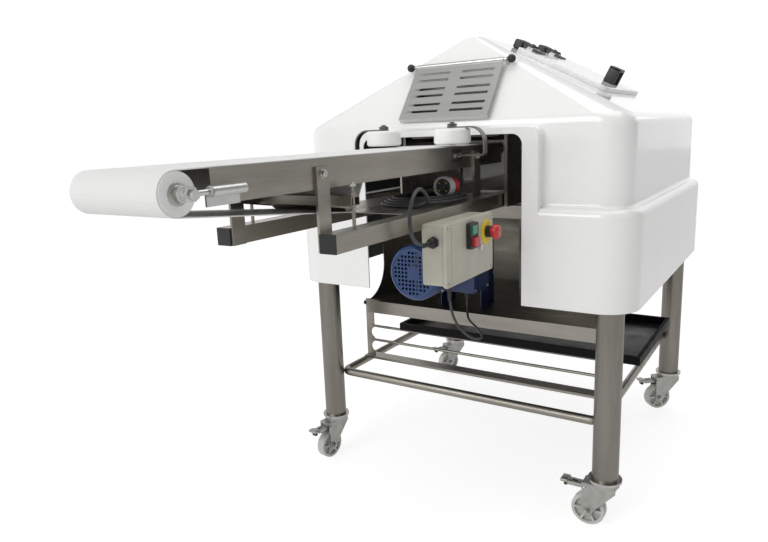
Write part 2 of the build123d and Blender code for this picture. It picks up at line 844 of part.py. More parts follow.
# Hinge rod with its posts and ball knobs
with BuildPart(pane_plane) as guard_rod:
    for post in (-post_x, post_x):
        rod_z(post, hinge_s, 0, guard_lift, post_r)
    rod_end = rod_half - knob_r / 2
    rod_x(-rod_end, rod_end, hinge_s, guard_lift, hinge_rod_r)
    for knob_x in (-rod_half, rod_half):
        with Locations(Location((knob_x, hinge_s, guard_lift), (0, 90, 0))):
            Sphere(knob_r)
guard_rod.part.label = "guard_rod"
export_step(guard_rod.part, "parts/guard_rod.step")

# Conveyor bed of folded sheet, with the round bar that guides the returning belt
bed_low = bed_top - bed_h
bed_y0 = roller_y + bed_back
bed_y1 = nose_place_y - nose_r - belt_t - slide_gap
with BuildPart() as conveyor_bed:
    block(-bed_half, bed_half, bed_y0, bed_y1, bed_low, bed_top)
    block(-bed_half + bed_wall, bed_half - bed_wall, bed_y0 - through, bed_y1 + through,
          bed_low - through, bed_top - bed_wall, Mode.SUBTRACT)
    rod_x(-bed_half, bed_half, return_bar_y, return_bar_z, return_bar_r)
conveyor_bed.part.label = "conveyor_bed"
export_step(conveyor_bed.part, "parts/conveyor_bed.step")


# Endless belt: under the tension roller, over the return bar, round the nose and the front roller
def belt_loop(grow):
    """Outline of the belt, grown outward; turns to the left have a positive radius."""
    bends = (
        (roller_y, roller_z, roller_r + grow),
        (tension_place_y, tension_z, tension_r + grow),
        (return_bar_y, return_bar_z, grow - return_bar_r - 2 * gap - belt_t),
        (nose_place_y, nose_z, nose_r + grow),
    )
    headings = []
    for (y0, z0, r0), (y1, z1, r1) in zip(bends, bends[1:] + bends[:1]):
        slope = atan2(z1 - z0, y1 - y0) + asin((r0 - r1) / hypot(y1 - y0, z1 - z0))
        headings.append(degrees(slope))
    with BuildSketch(Plane.YZ.offset(-belt_half)) as outline:
        with BuildLine():
            bows = []
            for (y, z, radius), before, after in zip(bends, headings[-1:] + headings[:-1], headings):
                turn = (after - before + 180) % 360 - 180
                if radius > 0 > turn:
                    turn += 360
                start = before - 90 if radius > 0 else before + 90
                bows.append(CenterArc((y, z), abs(radius), start, turn))
            for bow, following in zip(bows, bows[1:] + bows[:1]):
                Line(bow @ 1, following @ 0)
        make_face()
    return outline.sketch


with BuildPart() as conveyor_belt:
    extrude(belt_loop(gap + belt_t), amount=2 * belt_half)
    extrude(belt_loop(gap), amount=2 * belt_half, mode=Mode.SUBTRACT)
conveyor_belt.part.label = "conveyor_belt"
export_step(conveyor_belt.part, "parts/conveyor_belt.step")

# Front roller on its dead axle
with BuildPart() as front_roller:
    rod_x(-roller_half, roller_half, roller_y, roller_z, roller_r)
    rod_x(-roller_half - roller_hub, roller_half + roller_hub, roller_y, roller_z, roller_hub_r)
    rod_x(-roller_half - 2 * roller_hub, roller_half + 2 * roller_hub, roller_y, roller_z,
          front_axle_r + fit, Mode.SUBTRACT)
front_roller.part.label = "front_roller"
export_step(front_roller.part, "parts/front_roller.step")

# Dead axle, tension screws and their tubes on the rails
eye_in = roller_half + roller_hub + gap
eye_mid = eye_in + eye_w / 2
axle_end = eye_in + eye_w + front_axle_end
tube_y0 = roller_y + tube_back
with BuildPart() as belt_tensioners:
    rod_x(-axle_end, axle_end, roller_y, roller_z, front_axle_r)
    for side in (-1, 1):
        eye_x = side * eye_mid
        rod_x(eye_x - eye_w / 2, eye_x + eye_w / 2, roller_y, roller_z, eye_h / 2)
        with BuildSketch(Plane.YZ.offset(side * (eye_in + eye_w) - (0 if side > 0 else front_axle_end / 2))):
            with Locations((roller_y, roller_z)):
                RegularPolygon(roller_hub_r, 6)
        extrude(amount=front_axle_end / 2)
        rod_y(eye_x, roller_y, tube_y0 + tube_len / 2, roller_z, screw_r)
        rod_y(eye_x, tube_y0, tube_y0 + tube_len, roller_z, tube_r)
        plate_x = (side * bed_half, eye_x)
        block(min(plate_x), max(plate_x), tube_y0, tube_y0 + tube_len, roller_z - tube_r, roller_z)
        drop_x = (side * bed_half, side * (bed_half + cheek_t))
        block(min(drop_x), max(drop_x), tube_y0, tube_y0 + tube_len, roller_z - plate_drop, roller_z)
belt_tensioners.part.label = "belt_tensioners"
export_step(belt_tensioners.part, "parts/belt_tensioners.step")

# Conveyor frame: two square tubes, flat uprights with pivot pins, and the sheet shelf
with BuildPart() as conveyor_frame:
    for side in (-1, 1):
        rail_x = sorted((side * rail_in, side * rail_out))
        tube_box(rail_x[0], rail_x[1], rail_y0, rail_y1, rail_bottom, rail_top, "y", rail_wall)
        flat_x = sorted((side * bed_half, side * rail_in))
        for upright_y in (pivot_y, front_y - upright_rear_y):
            block(flat_x[0], flat_x[1], upright_y - upright_w / 2, upright_y + upright_w / 2,
                  rail_bottom, bed_top - upright_drop)
        pin_x = sorted((side * (belt_half + slide_gap), side * rail_in))
        rod_x(pin_x[0], pin_x[1], pivot_y, pivot_z, tension_pivot_r)
    block(-rail_in, rail_in, front_y - shelf_front, front_y + shelf_rear, rail_top - shelf_t, rail_top)
conveyor_frame.part.label = "conveyor_frame"
export_step(conveyor_frame.part, "parts/conveyor_frame.step")

# Black caps in the four ends of the square tubes
with BuildPart() as tube_caps:
    for cap_side in (-1, 1):
        cap_x = sorted((cap_side * rail_in, cap_side * rail_out))
        inner = rail_wall + slide_gap
        for end_y, outward in ((rail_y0, -1), (rail_y1, 1)):
            face_y = sorted((end_y, end_y + outward * cap_t))
            block(cap_x[0], cap_x[1], face_y[0], face_y[1], rail_bottom, rail_top)
            plug_y = sorted((end_y, end_y - outward * cap_plug))
            block(cap_x[0] + inner, cap_x[1] - inner, plug_y[0], plug_y[1],
                  rail_bottom + inner, rail_top - inner)
tube_caps.part.label = "tube_caps"
export_step(tube_caps.part, "parts/tube_caps.step")

# Tension frame: two arms, a hollow cross bar and two stop bolts
arm_in = belt_half + slide_gap
arm_out = arm_in + tension_arm_t
tension_bar_mid = tension_place_y - tension_bar_ahead
tension_bar_z = bed_top - tension_bar_drop
with BuildPart() as tension_frame:
    for arm_x in (-arm_out, arm_in):
        with BuildSketch(Plane.YZ.offset(arm_x)):
            with BuildLine():
                CenterArc((pivot_y, pivot_z), tension_arm_r, 0, 360)
                CenterArc((tension_place_y, tension_z), tension_arm_r, 0, 360)
            make_hull()
        extrude(amount=tension_arm_t)
    bar_y0 = tension_bar_mid - tension_bar_w / 2
    bar_y1 = tension_bar_mid + tension_bar_w / 2
    bar_z0 = tension_bar_z - tension_bar_h / 2
    bar_z1 = tension_bar_z + tension_bar_h / 2
    block(-tension_bar_half, tension_bar_half, bar_y0, bar_y1, bar_z0, bar_z1)
    for bolt_side in (-1, 1):
        bore = sorted((bolt_side * (rail_in + bed_wall), bolt_side * (tension_bar_half + through)))
        block(bore[0], bore[1], bar_y0 + bed_wall, bar_y1 - bed_wall, bar_z0 + bed_wall, bar_z1 - bed_wall,
              Mode.SUBTRACT)
        bolt_x = bolt_side * (rail_in + rail_out) / 2
        rod_z(bolt_x, tension_bar_mid, rail_top + gap, bed_top - tension_bolt_drop, tension_bolt_r)
        rod_z(bolt_x, tension_bar_mid, bar_z1, bar_z1 + 2 * tension_bolt_r, 2 * tension_bolt_r)
    rod_x(-rail_in, rail_in, pivot_y, pivot_z, tension_pivot_r + fit, Mode.SUBTRACT)
    rod_x(-rail_in, rail_in, tension_place_y, tension_z, tension_pin_r + fit, Mode.SUBTRACT)
tension_frame.part.label = "tension_frame"
export_step(tension_frame.part, "parts/tension_frame.step")

# Tension roller in the arms
with BuildPart() as tension_roller:
    rod_x(-tension_half, tension_half, tension_place_y, tension_z, tension_r)
    rod_x(-arm_out, arm_out, tension_place_y, tension_z, tension_pin_r)
tension_roller.part.label = "tension_roller"
export_step(tension_roller.part, "parts/tension_roller.step")

# Drive roller at the belt's inner end
with BuildPart() as drive_roller:
    rod_x(-roller_half, roller_half, nose_place_y, nose_z, nose_r)
    rod_x(-plate_out - journal_out, plate_out + journal_out, nose_place_y, nose_z, nose_journal_r)
drive_roller.part.label = "drive_roller"
export_step(drive_roller.part, "parts/drive_roller.step")

# Guide discs, and their strap arms with axle bolts
disc_place_y = front_y - disc_y
disc_bottom = bed_top + disc_lift
disc_top = disc_bottom + disc_h


def guide_disc(x):
    """White puck with rounded rim, bored for its bolt."""
    with BuildPart() as puck:
        rod_z(x, disc_place_y, disc_bottom, disc_top, disc_r)
        fillet(puck.edges().filter_by(GeomType.CIRCLE), disc_edge)
        rod_z(x, disc_place_y, disc_bottom - through, disc_top + through, disc_bolt_r + fit, Mode.SUBTRACT)
    return puck.part


with BuildPart() as guide_disc_left:
    add(guide_disc(-disc_x))
guide_disc_left.part.label = "guide_disc_left"
export_step(guide_disc_left.part, "parts/guide_disc_left.step")

with BuildPart() as guide_disc_right:
    add(guide_disc(disc_x))
guide_disc_right.part.label = "guide_disc_right"
export_step(guide_disc_right.part, "parts/guide_disc_right.step")

strap_z = disc_top + slide_gap + strap_t / 2
strap_foot_z = bed_top - strap_drop
with BuildPart() as disc_arms:
    for side in (-1, 1):
        with BuildLine(Plane.XZ.offset(-disc_place_y)) as strap_path:
            FilletPolyline(
                (side * (disc_x - disc_head_r), strap_z),
                (side * strap_out, strap_z),
                (side * strap_out, strap_foot_z),
                (side * bed_half, strap_foot_z),
                radius=(strap_bend, 2 * strap_t),
            )
        with BuildSketch(Plane(origin=strap_path.line @ 0, x_dir=(0, 1, 0), z_dir=strap_path.line % 0)):
            Rectangle(strap_w, strap_t)
        sweep(path=strap_path.line)
        foot_x = sorted((side * bed_half, side * (bed_half + strap_t)))
        block(foot_x[0], foot_x[1], disc_place_y - foot_w / 2, disc_place_y + foot_w / 2,
              strap_foot_z - foot_h / 2, strap_foot_z + foot_h / 2)
        bolt_x = side * disc_x
        rod_z(bolt_x, disc_place_y, disc_bottom - gap - washer_t, strap_z + disc_head_h, disc_bolt_r)
        rod_z(bolt_x, disc_place_y, disc_bottom - gap - washer_t, disc_bottom - gap, washer_r)
        rod_z(bolt_x, disc_place_y, strap_z, strap_z + disc_head_h, disc_head_r)
disc_arms.part.label = "disc_arms"
export_step(disc_arms.part, "parts/disc_arms.step")

# Roller frame: two side plates with bearings, joined by the dough chute and the slide
work_shafts = (
    (sheeter_y, sheeter_low_z, journal_r),
    (sheeter_y, sheeter_high_z, journal_r),
    (cutter_y, cutter_z, journal_r),
    (moulder_y, moulder_z, journal_r),
    (nose_y, nose_z, nose_journal_r),
)


def sloped_sheet(y0, z0, y1, z1, half):
    """Flat sheet between two edges along X."""
    with BuildSketch(Plane.YZ.offset(-half)) as profile:
        with BuildLine():
            Polyline((y0, z0), (y1, z1), (y1, z1 - sheet_t), (y0, z0 - sheet_t), close=True)
        make_face()
    extrude(profile.sketch, amount=2 * half)


with BuildPart() as roller_frame:
    for side_x in (-plate_out, plate_half):
        with BuildSketch(Plane.YZ.offset(side_x)):
            with BuildLine():
                Polyline(
                    (front_y + plate_front, frame_top),
                    (front_y + plate_foot, frame_top),
                    (front_y + plate_foot, frame_top + plate_foot_h),
                    (front_y + plate_rear, bed_top - plate_shoulder_drop),
                    (front_y + plate_rear, bed_top + plate_rise),
                    (front_y + plate_lean_y, bed_top + plate_rise),
                    (front_y + plate_front, bed_top + plate_nose_rise),
                    close=True,
                )
            make_face()
            for shaft_y, shaft_z, shaft_radius in work_shafts:
                with Locations((front_y + shaft_y, shaft_z)):
                    Circle(shaft_radius + fit, mode=Mode.SUBTRACT)
        extrude(amount=plate_t)
    sloped_sheet(front_y + chute_front_y, bed_top + chute_front_rise,
                 front_y + chute_rear_y, bed_top + chute_rear_rise, plate_half)
    sloped_sheet(front_y + slide_front_y, bed_top + slide_front_rise,
                 front_y + slide_rear_y, bed_top + slide_rear_rise, plate_half)
roller_frame.part.label = "roller_frame"
export_step(roller_frame.part, "parts/roller_frame.step")


def work_roller(y, z, radius):
    """Roller body with journals through both side plates, in the part being built."""
    rod_x(-work_half, work_half, front_y + y, z, radius)
    rod_x(-plate_out - journal_out, plate_out + journal_out, front_y + y, z, journal_r)


# Sheeting rollers with timing wheels, one above the other
gear_in = plate_out + journal_out
gear_r = sheeter_r + dough_gap / 2 - gap
with BuildPart() as sheeter_roller_lower:
    work_roller(sheeter_y, sheeter_low_z, sheeter_r)
    rod_x(gear_in, gear_in + gear_t, front_y + sheeter_y, sheeter_low_z, gear_r)
sheeter_roller_lower.part.label = "sheeter_roller_lower"
export_step(sheeter_roller_lower.part, "parts/sheeter_roller_lower.step")

with BuildPart() as sheeter_roller_upper:
    work_roller(sheeter_y, sheeter_high_z, sheeter_r)
    rod_x(gear_in, gear_in + gear_t, front_y + sheeter_y, sheeter_high_z, gear_r)
sheeter_roller_upper.part.label = "sheeter_roller_upper"
export_step(sheeter_roller_upper.part, "parts/sheeter_roller_upper.step")

# Cutter drum with blades and its chain sprocket
sprocket_x0 = -chain_x - sprocket_t / 2
with BuildPart() as cutter_drum:
    work_roller(cutter_y, cutter_z, cutter_r - blade_h)
    with BuildSketch(Plane.YZ.offset(-work_half)):
        with Locations((front_y + cutter_y, cutter_z)):
            with PolarLocations(0, blade_count):
                Rectangle(cutter_r, blade_w, align=(Align.MIN, Align.CENTER))
    extrude(amount=2 * work_half)
    rod_x(sprocket_x0, -plate_out, front_y + cutter_y, cutter_z, journal_r)
    rod_x(sprocket_x0, sprocket_x0 + sprocket_t, front_y + cutter_y, cutter_z, sprocket_r)
cutter_drum.part.label = "cutter_drum"
export_step(cutter_drum.part, "parts/cutter_drum.step")

# Moulding drum with lengthwise grooves
with BuildPart() as moulding_drum:
    work_roller(moulder_y, moulder_z, moulder_r)
    with BuildSketch(Plane.YZ.offset(-work_half)):
        with Locations((front_y + moulder_y, moulder_z)):
            with PolarLocations(moulder_r, groove_count):
                Circle(groove_r)
    extrude(amount=2 * work_half, mode=Mode.SUBTRACT)
moulding_drum.part.label = "moulding_drum"
export_step(moulding_drum.part, "parts/moulding_drum.step")

# Motor body with fins, end shields and terminal box
cowl_rear = motor_front + cowl_len
with BuildPart() as motor_body:
    rod_y(motor_x, cowl_rear - shield_t, motor_rear, motor_z, motor_r - fin_depth)
    with BuildSketch(Plane((motor_x, cowl_rear, motor_z), x_dir=(1, 0, 0), z_dir=(0, 1, 0))):
        with PolarLocations(0, fin_count):
            Rectangle(motor_r, fin_w, align=(Align.MIN, Align.CENTER))
    extrude(amount=motor_rear - shield_t - cowl_rear)
    rod_y(motor_x, cowl_rear - shield_t, cowl_rear, motor_z, cowl_r - cowl_wall - gap)
    rod_y(motor_x, motor_rear - shield_t, motor_rear, motor_z, motor_r)
    terminal_y0 = front_y + terminal_y
    terminal_z = motor_z + terminal_dz
    block(motor_x, motor_x + motor_r + terminal_w, terminal_y0, terminal_y0 + terminal_len,
          terminal_z - terminal_h / 2, terminal_z + terminal_h / 2)
    rod_y(motor_x, motor_front, motor_rear + through, motor_z, shaft_r + fit, Mode.SUBTRACT)
motor_body.part.label = "motor_body"
export_step(motor_body.part, "parts/motor_body.step")

# Fan cowl, a cup with square holes in its face
hole_steps = int(cowl_holes_r // cowl_pitch)
with BuildPart() as cowl_hollow:
    rod_y(motor_x, motor_front + cowl_wall, cowl_rear + through, motor_z, cowl_r - cowl_wall)
    fillet(cowl_hollow.faces().sort_by(Axis.Y)[0].edges(), cowl_round - cowl_wall)

with BuildPart() as fan_cowl:
    rod_y(motor_x, motor_front, cowl_rear, motor_z, cowl_r)
    fillet(fan_cowl.faces().sort_by(Axis.Y)[0].edges(), cowl_round)
    add(cowl_hollow.part, mode=Mode.SUBTRACT)
    with BuildSketch(Plane((motor_x, motor_front, motor_z), x_dir=(1, 0, 0), z_dir=(0, 1, 0))):
        for column in range(-hole_steps, hole_steps + 1):
            for row in range(-hole_steps, hole_steps + 1):
                reach = hypot(column, row) * cowl_pitch
                if shaft_r * 2 < reach < cowl_holes_r:
                    with Locations((column * cowl_pitch, row * cowl_pitch)):
                        Rectangle(cowl_hole, cowl_hole)
    extrude(amount=3 * cowl_wall, mode=Mode.SUBTRACT)
fan_cowl.part.label = "fan_cowl"
export_step(fan_cowl.part, "parts/fan_cowl.step")

# Rotor: shaft through the motor into the gearbox, with the cooling fan
fan_y0 = motor_front + cowl_wall + fan_t
with BuildPart() as motor_rotor:
    rod_y(motor_x, fan_y0, motor_rear + gearbox_len / 4, motor_z, shaft_r)
    rod_y(motor_x, fan_y0, fan_y0 + fan_t, motor_z, fan_hub_r)
    with BuildSketch(Plane((motor_x, fan_y0, motor_z), x_dir=(1, 0, 0), z_dir=(0, 1, 0))):
        with PolarLocations(0, fan_blades):
            Rectangle(fan_r, blade_t, align=(Align.MIN, Align.CENTER))
    extrude(amount=fan_t)
motor_rotor.part.label = "motor_rotor"
export_step(motor_rotor.part, "parts/motor_rotor.step")

# Worm gearbox with bores for its input and output shafts
output_in = motor_x - gearbox_w / 4
with BuildPart() as gearbox:
    block(motor_x - gearbox_w / 2, motor_x + gearbox_w / 2, motor_rear, motor_rear + gearbox_len,
          gearbox_low, gearbox_low + gearbox_h)
    fillet(gearbox.edges().filter_by(Axis.X), gearbox_round)
    rod_y(motor_x, motor_rear - through, motor_rear + gearbox_len / 4 + slide_gap, motor_z,
          shaft_r + fit, Mode.SUBTRACT)
    rod_x(motor_x - gearbox_w, output_in + slide_gap, gearbox_mid, motor_z, output_r + fit, Mode.SUBTRACT)
gearbox.part.label = "gearbox"
export_step(gearbox.part, "parts/gearbox.step")

# Output shaft with its sprocket
with BuildPart() as gearbox_sprocket:
    rod_x(sprocket_x0, output_in, gearbox_mid, motor_z, output_r)
    rod_x(sprocket_x0, sprocket_x0 + sprocket_t, gearbox_mid, motor_z, sprocket_r)
    for hole_angle in range(0, 360, 60):
        rod_x(sprocket_x0 - through, sprocket_x0 + 2 * through,
              gearbox_mid + (sprocket_r + output_r) / 2 * cos(radians(hole_angle)),
              motor_z + (sprocket_r + output_r) / 2 * sin(radians(hole_angle)), output_r / 2, Mode.SUBTRACT)
gearbox_sprocket.part.label = "gearbox_sprocket"
export_step(gearbox_sprocket.part, "parts/gearbox_sprocket.step")


# Drive chain from the gearbox up to the cutter drum
def chain_hull(grow):
    """Outline of the chain round its two sprockets, grown by a distance."""
    with BuildSketch(Plane.YZ.offset(sprocket_x0)) as outline:
        with BuildLine():
            CenterArc((gearbox_mid, motor_z), sprocket_r + grow, 0, 360)
            CenterArc((front_y + cutter_y, cutter_z), sprocket_r + grow, 0, 360)
        make_hull()
    return outline.sketch


with BuildPart() as drive_chain:
    extrude(chain_hull(chain_gap + chain_t), amount=sprocket_t)
    extrude(chain_hull(chain_gap), amount=sprocket_t, mode=Mode.SUBTRACT)
drive_chain.part.label = "drive_chain"
export_step(drive_chain.part, "parts/drive_chain.step")

# Control box on the near conveyor tube
box_rear = box_front + box_len
box_high = box_low + box_h
lead_place_y = box_mid_y + lead_gland_dy
with BuildPart() as control_box:
    block(rail_out, cover_in, box_front, box_rear, box_low, box_high)
    fillet(control_box.edges().filter_by(Axis.X), box_r)
    block(rail_out + box_wall, cover_in + through, box_front + box_wall, box_rear - box_wall,
          box_low + box_wall, box_high - box_wall, Mode.SUBTRACT)
control_box.part.label = "control_box"
export_step(control_box.part, "parts/control_box.step")

estop_place = (box_rear - estop_in, box_z + estop_dz)
button_place_y = box_mid_y + button_dy
button_z = box_z + button_mid_dz
key_place = (box_rear - key_in, box_z + key_dz)
with BuildPart() as box_cover:
    block(cover_in, cover_out, box_front - cover_lap, box_rear + cover_lap, box_low - cover_lap,
          box_high + cover_lap)
    fillet(box_cover.edges().filter_by(Axis.X), cover_r)
    fillet(box_cover.faces().sort_by(Axis.X)[-1].edges(), cover_r / 3)
    rod_x(cover_in - through, cover_out + through, *estop_place, stem_r + slide_gap, Mode.SUBTRACT)
    rod_x(cover_in - through, cover_out + through, *key_place, key_stem_r + fit, Mode.SUBTRACT)
box_cover.part.label = "box_cover"
export_step(box_cover.part, "parts/box_cover.step")

# Emergency stop: collar with neck, and the mushroom button on its stem
neck_top = cover_out + collar_t + neck_h
with BuildPart() as estop_collar:
    rod_x(cover_out, cover_out + collar_t, *estop_place, collar_r)
    rod_x(cover_out, neck_top, *estop_place, neck_r)
    rod_x(cover_out - through, neck_top + through, *estop_place, stem_r + fit, Mode.SUBTRACT)
estop_collar.part.label = "estop_collar"
export_step(estop_collar.part, "parts/estop_collar.step")

head_in = neck_top + estop_lift
with BuildPart() as estop_button:
    rod_x(head_in, head_in + estop_h, *estop_place, estop_r)
    fillet(estop_button.faces().sort_by(Axis.X)[-1].edges(), estop_round)
    rod_x(cover_in + stem_in - cover_t, head_in, *estop_place, stem_r)
estop_button.part.label = "estop_button"
export_step(estop_button.part, "parts/estop_button.step")

# Start and stop buttons in their black block
button_face = cover_out + button_body_t
with BuildPart() as button_block:
    block(cover_out, button_face, button_place_y - button_body_w / 2, button_place_y + button_body_w / 2,
          button_z - button_body_h / 2, button_z + button_body_h / 2)
    fillet(button_block.edges().filter_by(Axis.X), button_body_t / 2)
    for pocket_z in (button_z - button_dz, button_z + button_dz):
        block(cover_out + box_wall, button_face + through, button_place_y - button_w / 2 - slide_gap,
              button_place_y + button_w / 2 + slide_gap, pocket_z - button_h / 2 - slide_gap,
              pocket_z + button_h / 2 + slide_gap, Mode.SUBTRACT)
button_block.part.label = "button_block"
export_step(button_block.part, "parts/button_block.step")


def push_button(z, proud):
    """Rectangular push button standing proud of its block."""
    with BuildPart() as key_cap:
        block(cover_out + box_wall + button_seat, button_face + proud, button_place_y - button_w / 2,
              button_place_y + button_w / 2, z - button_h / 2, z + button_h / 2)
        fillet(key_cap.faces().sort_by(Axis.X)[-1].edges(), start_proud / 2)
    return key_cap.part


with BuildPart() as start_button:
    add(push_button(button_z + button_dz, start_proud))
start_button.part.label = "start_button"
export_step(start_button.part, "parts/start_button.step")

with BuildPart() as stop_button:
    add(push_button(button_z - button_dz, stop_proud))
stop_button.part.label = "stop_button"
export_step(stop_button.part, "parts/stop_button.step")

# Key switch barrel with its slot
with BuildPart() as key_barrel:
    rod_x(cover_in, cover_out + gap, *key_place, key_stem_r)
    rod_x(cover_out + gap, cover_out + key_proud, *key_place, key_r)
    block(cover_out + key_proud / 2, cover_out + key_proud + through, key_place[0] - key_slot_w / 2,
          key_place[0] + key_slot_w / 2, key_place[1] - key_slot_len / 2,
          key_place[1] + key_slot_len / 2, Mode.SUBTRACT)
key_barrel.part.label = "key_barrel"
export_step(key_barrel.part, "parts/key_barrel.step")

# Cable glands: mains lead on the box's end, motor lead under the box and on the terminal box
mains_gland_x = rail_out + mains_gland_out
mains_gland_z = box_z + mains_gland_dz
lead_gland_x = rail_out + lead_gland_out
lead_motor_x = motor_x + motor_r + terminal_w / 3
lead_motor_y = terminal_y0 + terminal_len / 2
terminal_low = terminal_z - terminal_h / 2
with BuildPart() as cable_glands:
    rod_y(mains_gland_x, box_front - gland_nut_t, box_front, mains_gland_z, gland_nut_r)
    rod_y(mains_gland_x, box_front - gland_len, box_front, mains_gland_z, gland_r)
    rod_z(lead_gland_x, lead_place_y, box_low - gland_nut_t, box_low, gland_nut_r)
    rod_z(lead_gland_x, lead_place_y, box_low - gland_len, box_low, gland_r)
    rod_z(lead_motor_x, lead_motor_y, terminal_low - gland_nut_t, terminal_low, gland_nut_r)
    rod_z(lead_motor_x, lead_motor_y, terminal_low - gland_len, terminal_low, gland_r)
cable_glands.part.label = "cable_glands"
export_step(cable_glands.part, "parts/cable_glands.step")

# Mains coil on the shelf: one flat spiral of oval turns, wound inward
coil_z = rail_top + gap + mains_d / 2
coil_y0 = front_y - coil_front
coil_y1 = front_y - coil_rear
with BuildPart() as mains_coil:
    with BuildLine(Plane.XY.offset(coil_z)) as coil_path:
        radius = coil_r
        centre = coil_x
        Line((coil_x + mains_d, coil_y0 - radius), (coil_x, coil_y0 - radius))
        CenterArc((centre, coil_y0), radius, 270, -90)
        for arc in range(1, coil_arcs):
            if arc % 2:
                Line((centre - radius, coil_y0), (centre - radius, coil_y1))
                centre = centre - coil_pitch / 2
                radius = radius - coil_pitch / 2
                CenterArc((centre, coil_y1), radius, 180, -180)
            else:
                Line((centre + radius, coil_y1), (centre + radius, coil_y0))
                centre = centre + coil_pitch / 2
                radius = radius - coil_pitch / 2
                CenterArc((centre, coil_y0), radius, 0, -180)
        coil_end_x = centre - radius
        Line((coil_end_x, coil_y0), (coil_end_x, coil_y0 + coil_tail))
    coil_start = Vector(coil_x + mains_d, coil_y0 - coil_r, coil_z)
    with BuildSketch(Plane(origin=coil_start, z_dir=(-1, 0, 0))):
        Circle(mains_d / 2)
    sweep(path=coil_path.line)
mains_coil.part.label = "mains_coil"
export_step(mains_coil.part, "parts/mains_coil.step")
print("coil", round(coil_path.wire().length), "mm, least gap", round(least_gap(coil_path.wire(), mains_d), 2))

# Mains lead from its gland up and over the tube to the coil
gland_tip = box_front - gland_len
mains_points = (
    (mains_gland_x, gland_tip, mains_gland_z),
    (mains_gland_x, gland_tip - 60, mains_gland_z),
    (mains_gland_x - 2, gland_tip - 91, mains_gland_z + 56),
    (mains_gland_x - 8, gland_tip - 64, mains_gland_z + 114),
    (mains_gland_x - 18, gland_tip - 13, mains_gland_z + 134),
    (mains_gland_x - 33, gland_tip + 42, mains_gland_z + 118),
    (coil_x + 100, coil_y0 - coil_r - 25, coil_z + 15),
    (coil_x + 46 + mains_d, coil_y0 - coil_r, coil_z),
    (coil_x + mains_d, coil_y0 - coil_r, coil_z),
)
with BuildPart() as mains_cable:
    add(cable(mains_points, mains_d))
mains_cable.part.label = "mains_cable"
export_step(mains_cable.part, "parts/mains_cable.step")

# Plug on top of the coil, pins to the front, and its tail of cable
plug_z = rail_top + gap + mains_d + gap + plug_r
plug_y1 = front_y - plug_rear
plug_y0 = plug_y1 - plug_len
with BuildPart() as mains_plug:
    rod_y(plug_x, plug_y0, plug_y0 + plug_ring_len, plug_z, plug_r)
    rod_y(plug_x, plug_y0, plug_y1 - plug_boss_len, plug_z, plug_body_r)
    rod_y(plug_x, plug_y1 - plug_boss_len, plug_y1, plug_z, plug_boss_r)
    rod_y(plug_x, plug_y0 - through, plug_y0 + plug_ring_len / 2, plug_z, plug_body_r - box_wall,
          Mode.SUBTRACT)
mains_plug.part.label = "mains_plug"
export_step(mains_plug.part, "parts/mains_plug.step")

tail_points = (
    (coil_end_x, coil_y0 + coil_tail, coil_z),
    (coil_end_x, coil_y0 + coil_tail + 37, coil_z),
    (coil_end_x - 2, coil_y1 + 29, coil_z + 12),
    (coil_end_x, coil_y1 + 77, coil_z + 22),
    (coil_end_x + 5, plug_y1 + 40, plug_z - 8),
    (coil_end_x + 31, plug_y1 + 71, plug_z - 5),
    (plug_x - 29, plug_y1 + 72, plug_z - 1),
    (plug_x, plug_y1 + 42, plug_z),
    (plug_x, plug_y1, plug_z),
)
with BuildPart() as plug_cable:
    add(cable(tail_points, mains_d))
plug_cable.part.label = "plug_cable"
export_step(plug_cable.part, "parts/plug_cable.step")

# Motor lead hanging in a loop from the box to the terminal box
lead_top = box_low - gland_len
lead_end = terminal_low - gland_len
lead_points = (
    (lead_gland_x, lead_place_y, lead_top),
    (lead_gland_x, lead_place_y, lead_top - 50),
    (lead_gland_x + 10, lead_place_y + 18, lead_top - 105),
    (lead_gland_x + 26, lead_place_y + 60, lead_top - 148),
    (lead_gland_x + 30, lead_place_y + 115, lead_top - 168),
    (lead_gland_x + 12, lead_place_y + 172, lead_top - 176),
    (lead_gland_x - 30, lead_place_y + 235, lead_top - 182),
    (lead_gland_x - 80, lead_motor_y - 145, lead_end - 52),
    (lead_motor_x + 50, lead_motor_y - 80, lead_end - 66),
    (lead_motor_x + 14, lead_motor_y - 28, lead_end - 68),
    (lead_motor_x, lead_motor_y, lead_end - 40),
    (lead_motor_x, lead_motor_y, lead_end),
)
with BuildPart() as motor_cable:
    add(cable(lead_points, lead_d))
motor_cable.part.label = "motor_cable"
export_step(motor_cable.part, "parts/motor_cable.step")
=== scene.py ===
"""Dresses the croissant machine: finishes, fasteners, fittings, cords, studio light and camera.

Sizes and places are in millimetres, as in the part, and become metres where a mesh is made.
"""
import json
import logging
import math
from collections.abc import Callable, Sequence
from dataclasses import dataclass, field
from enum import Enum

import bpy
from mathutils import Matrix, Vector


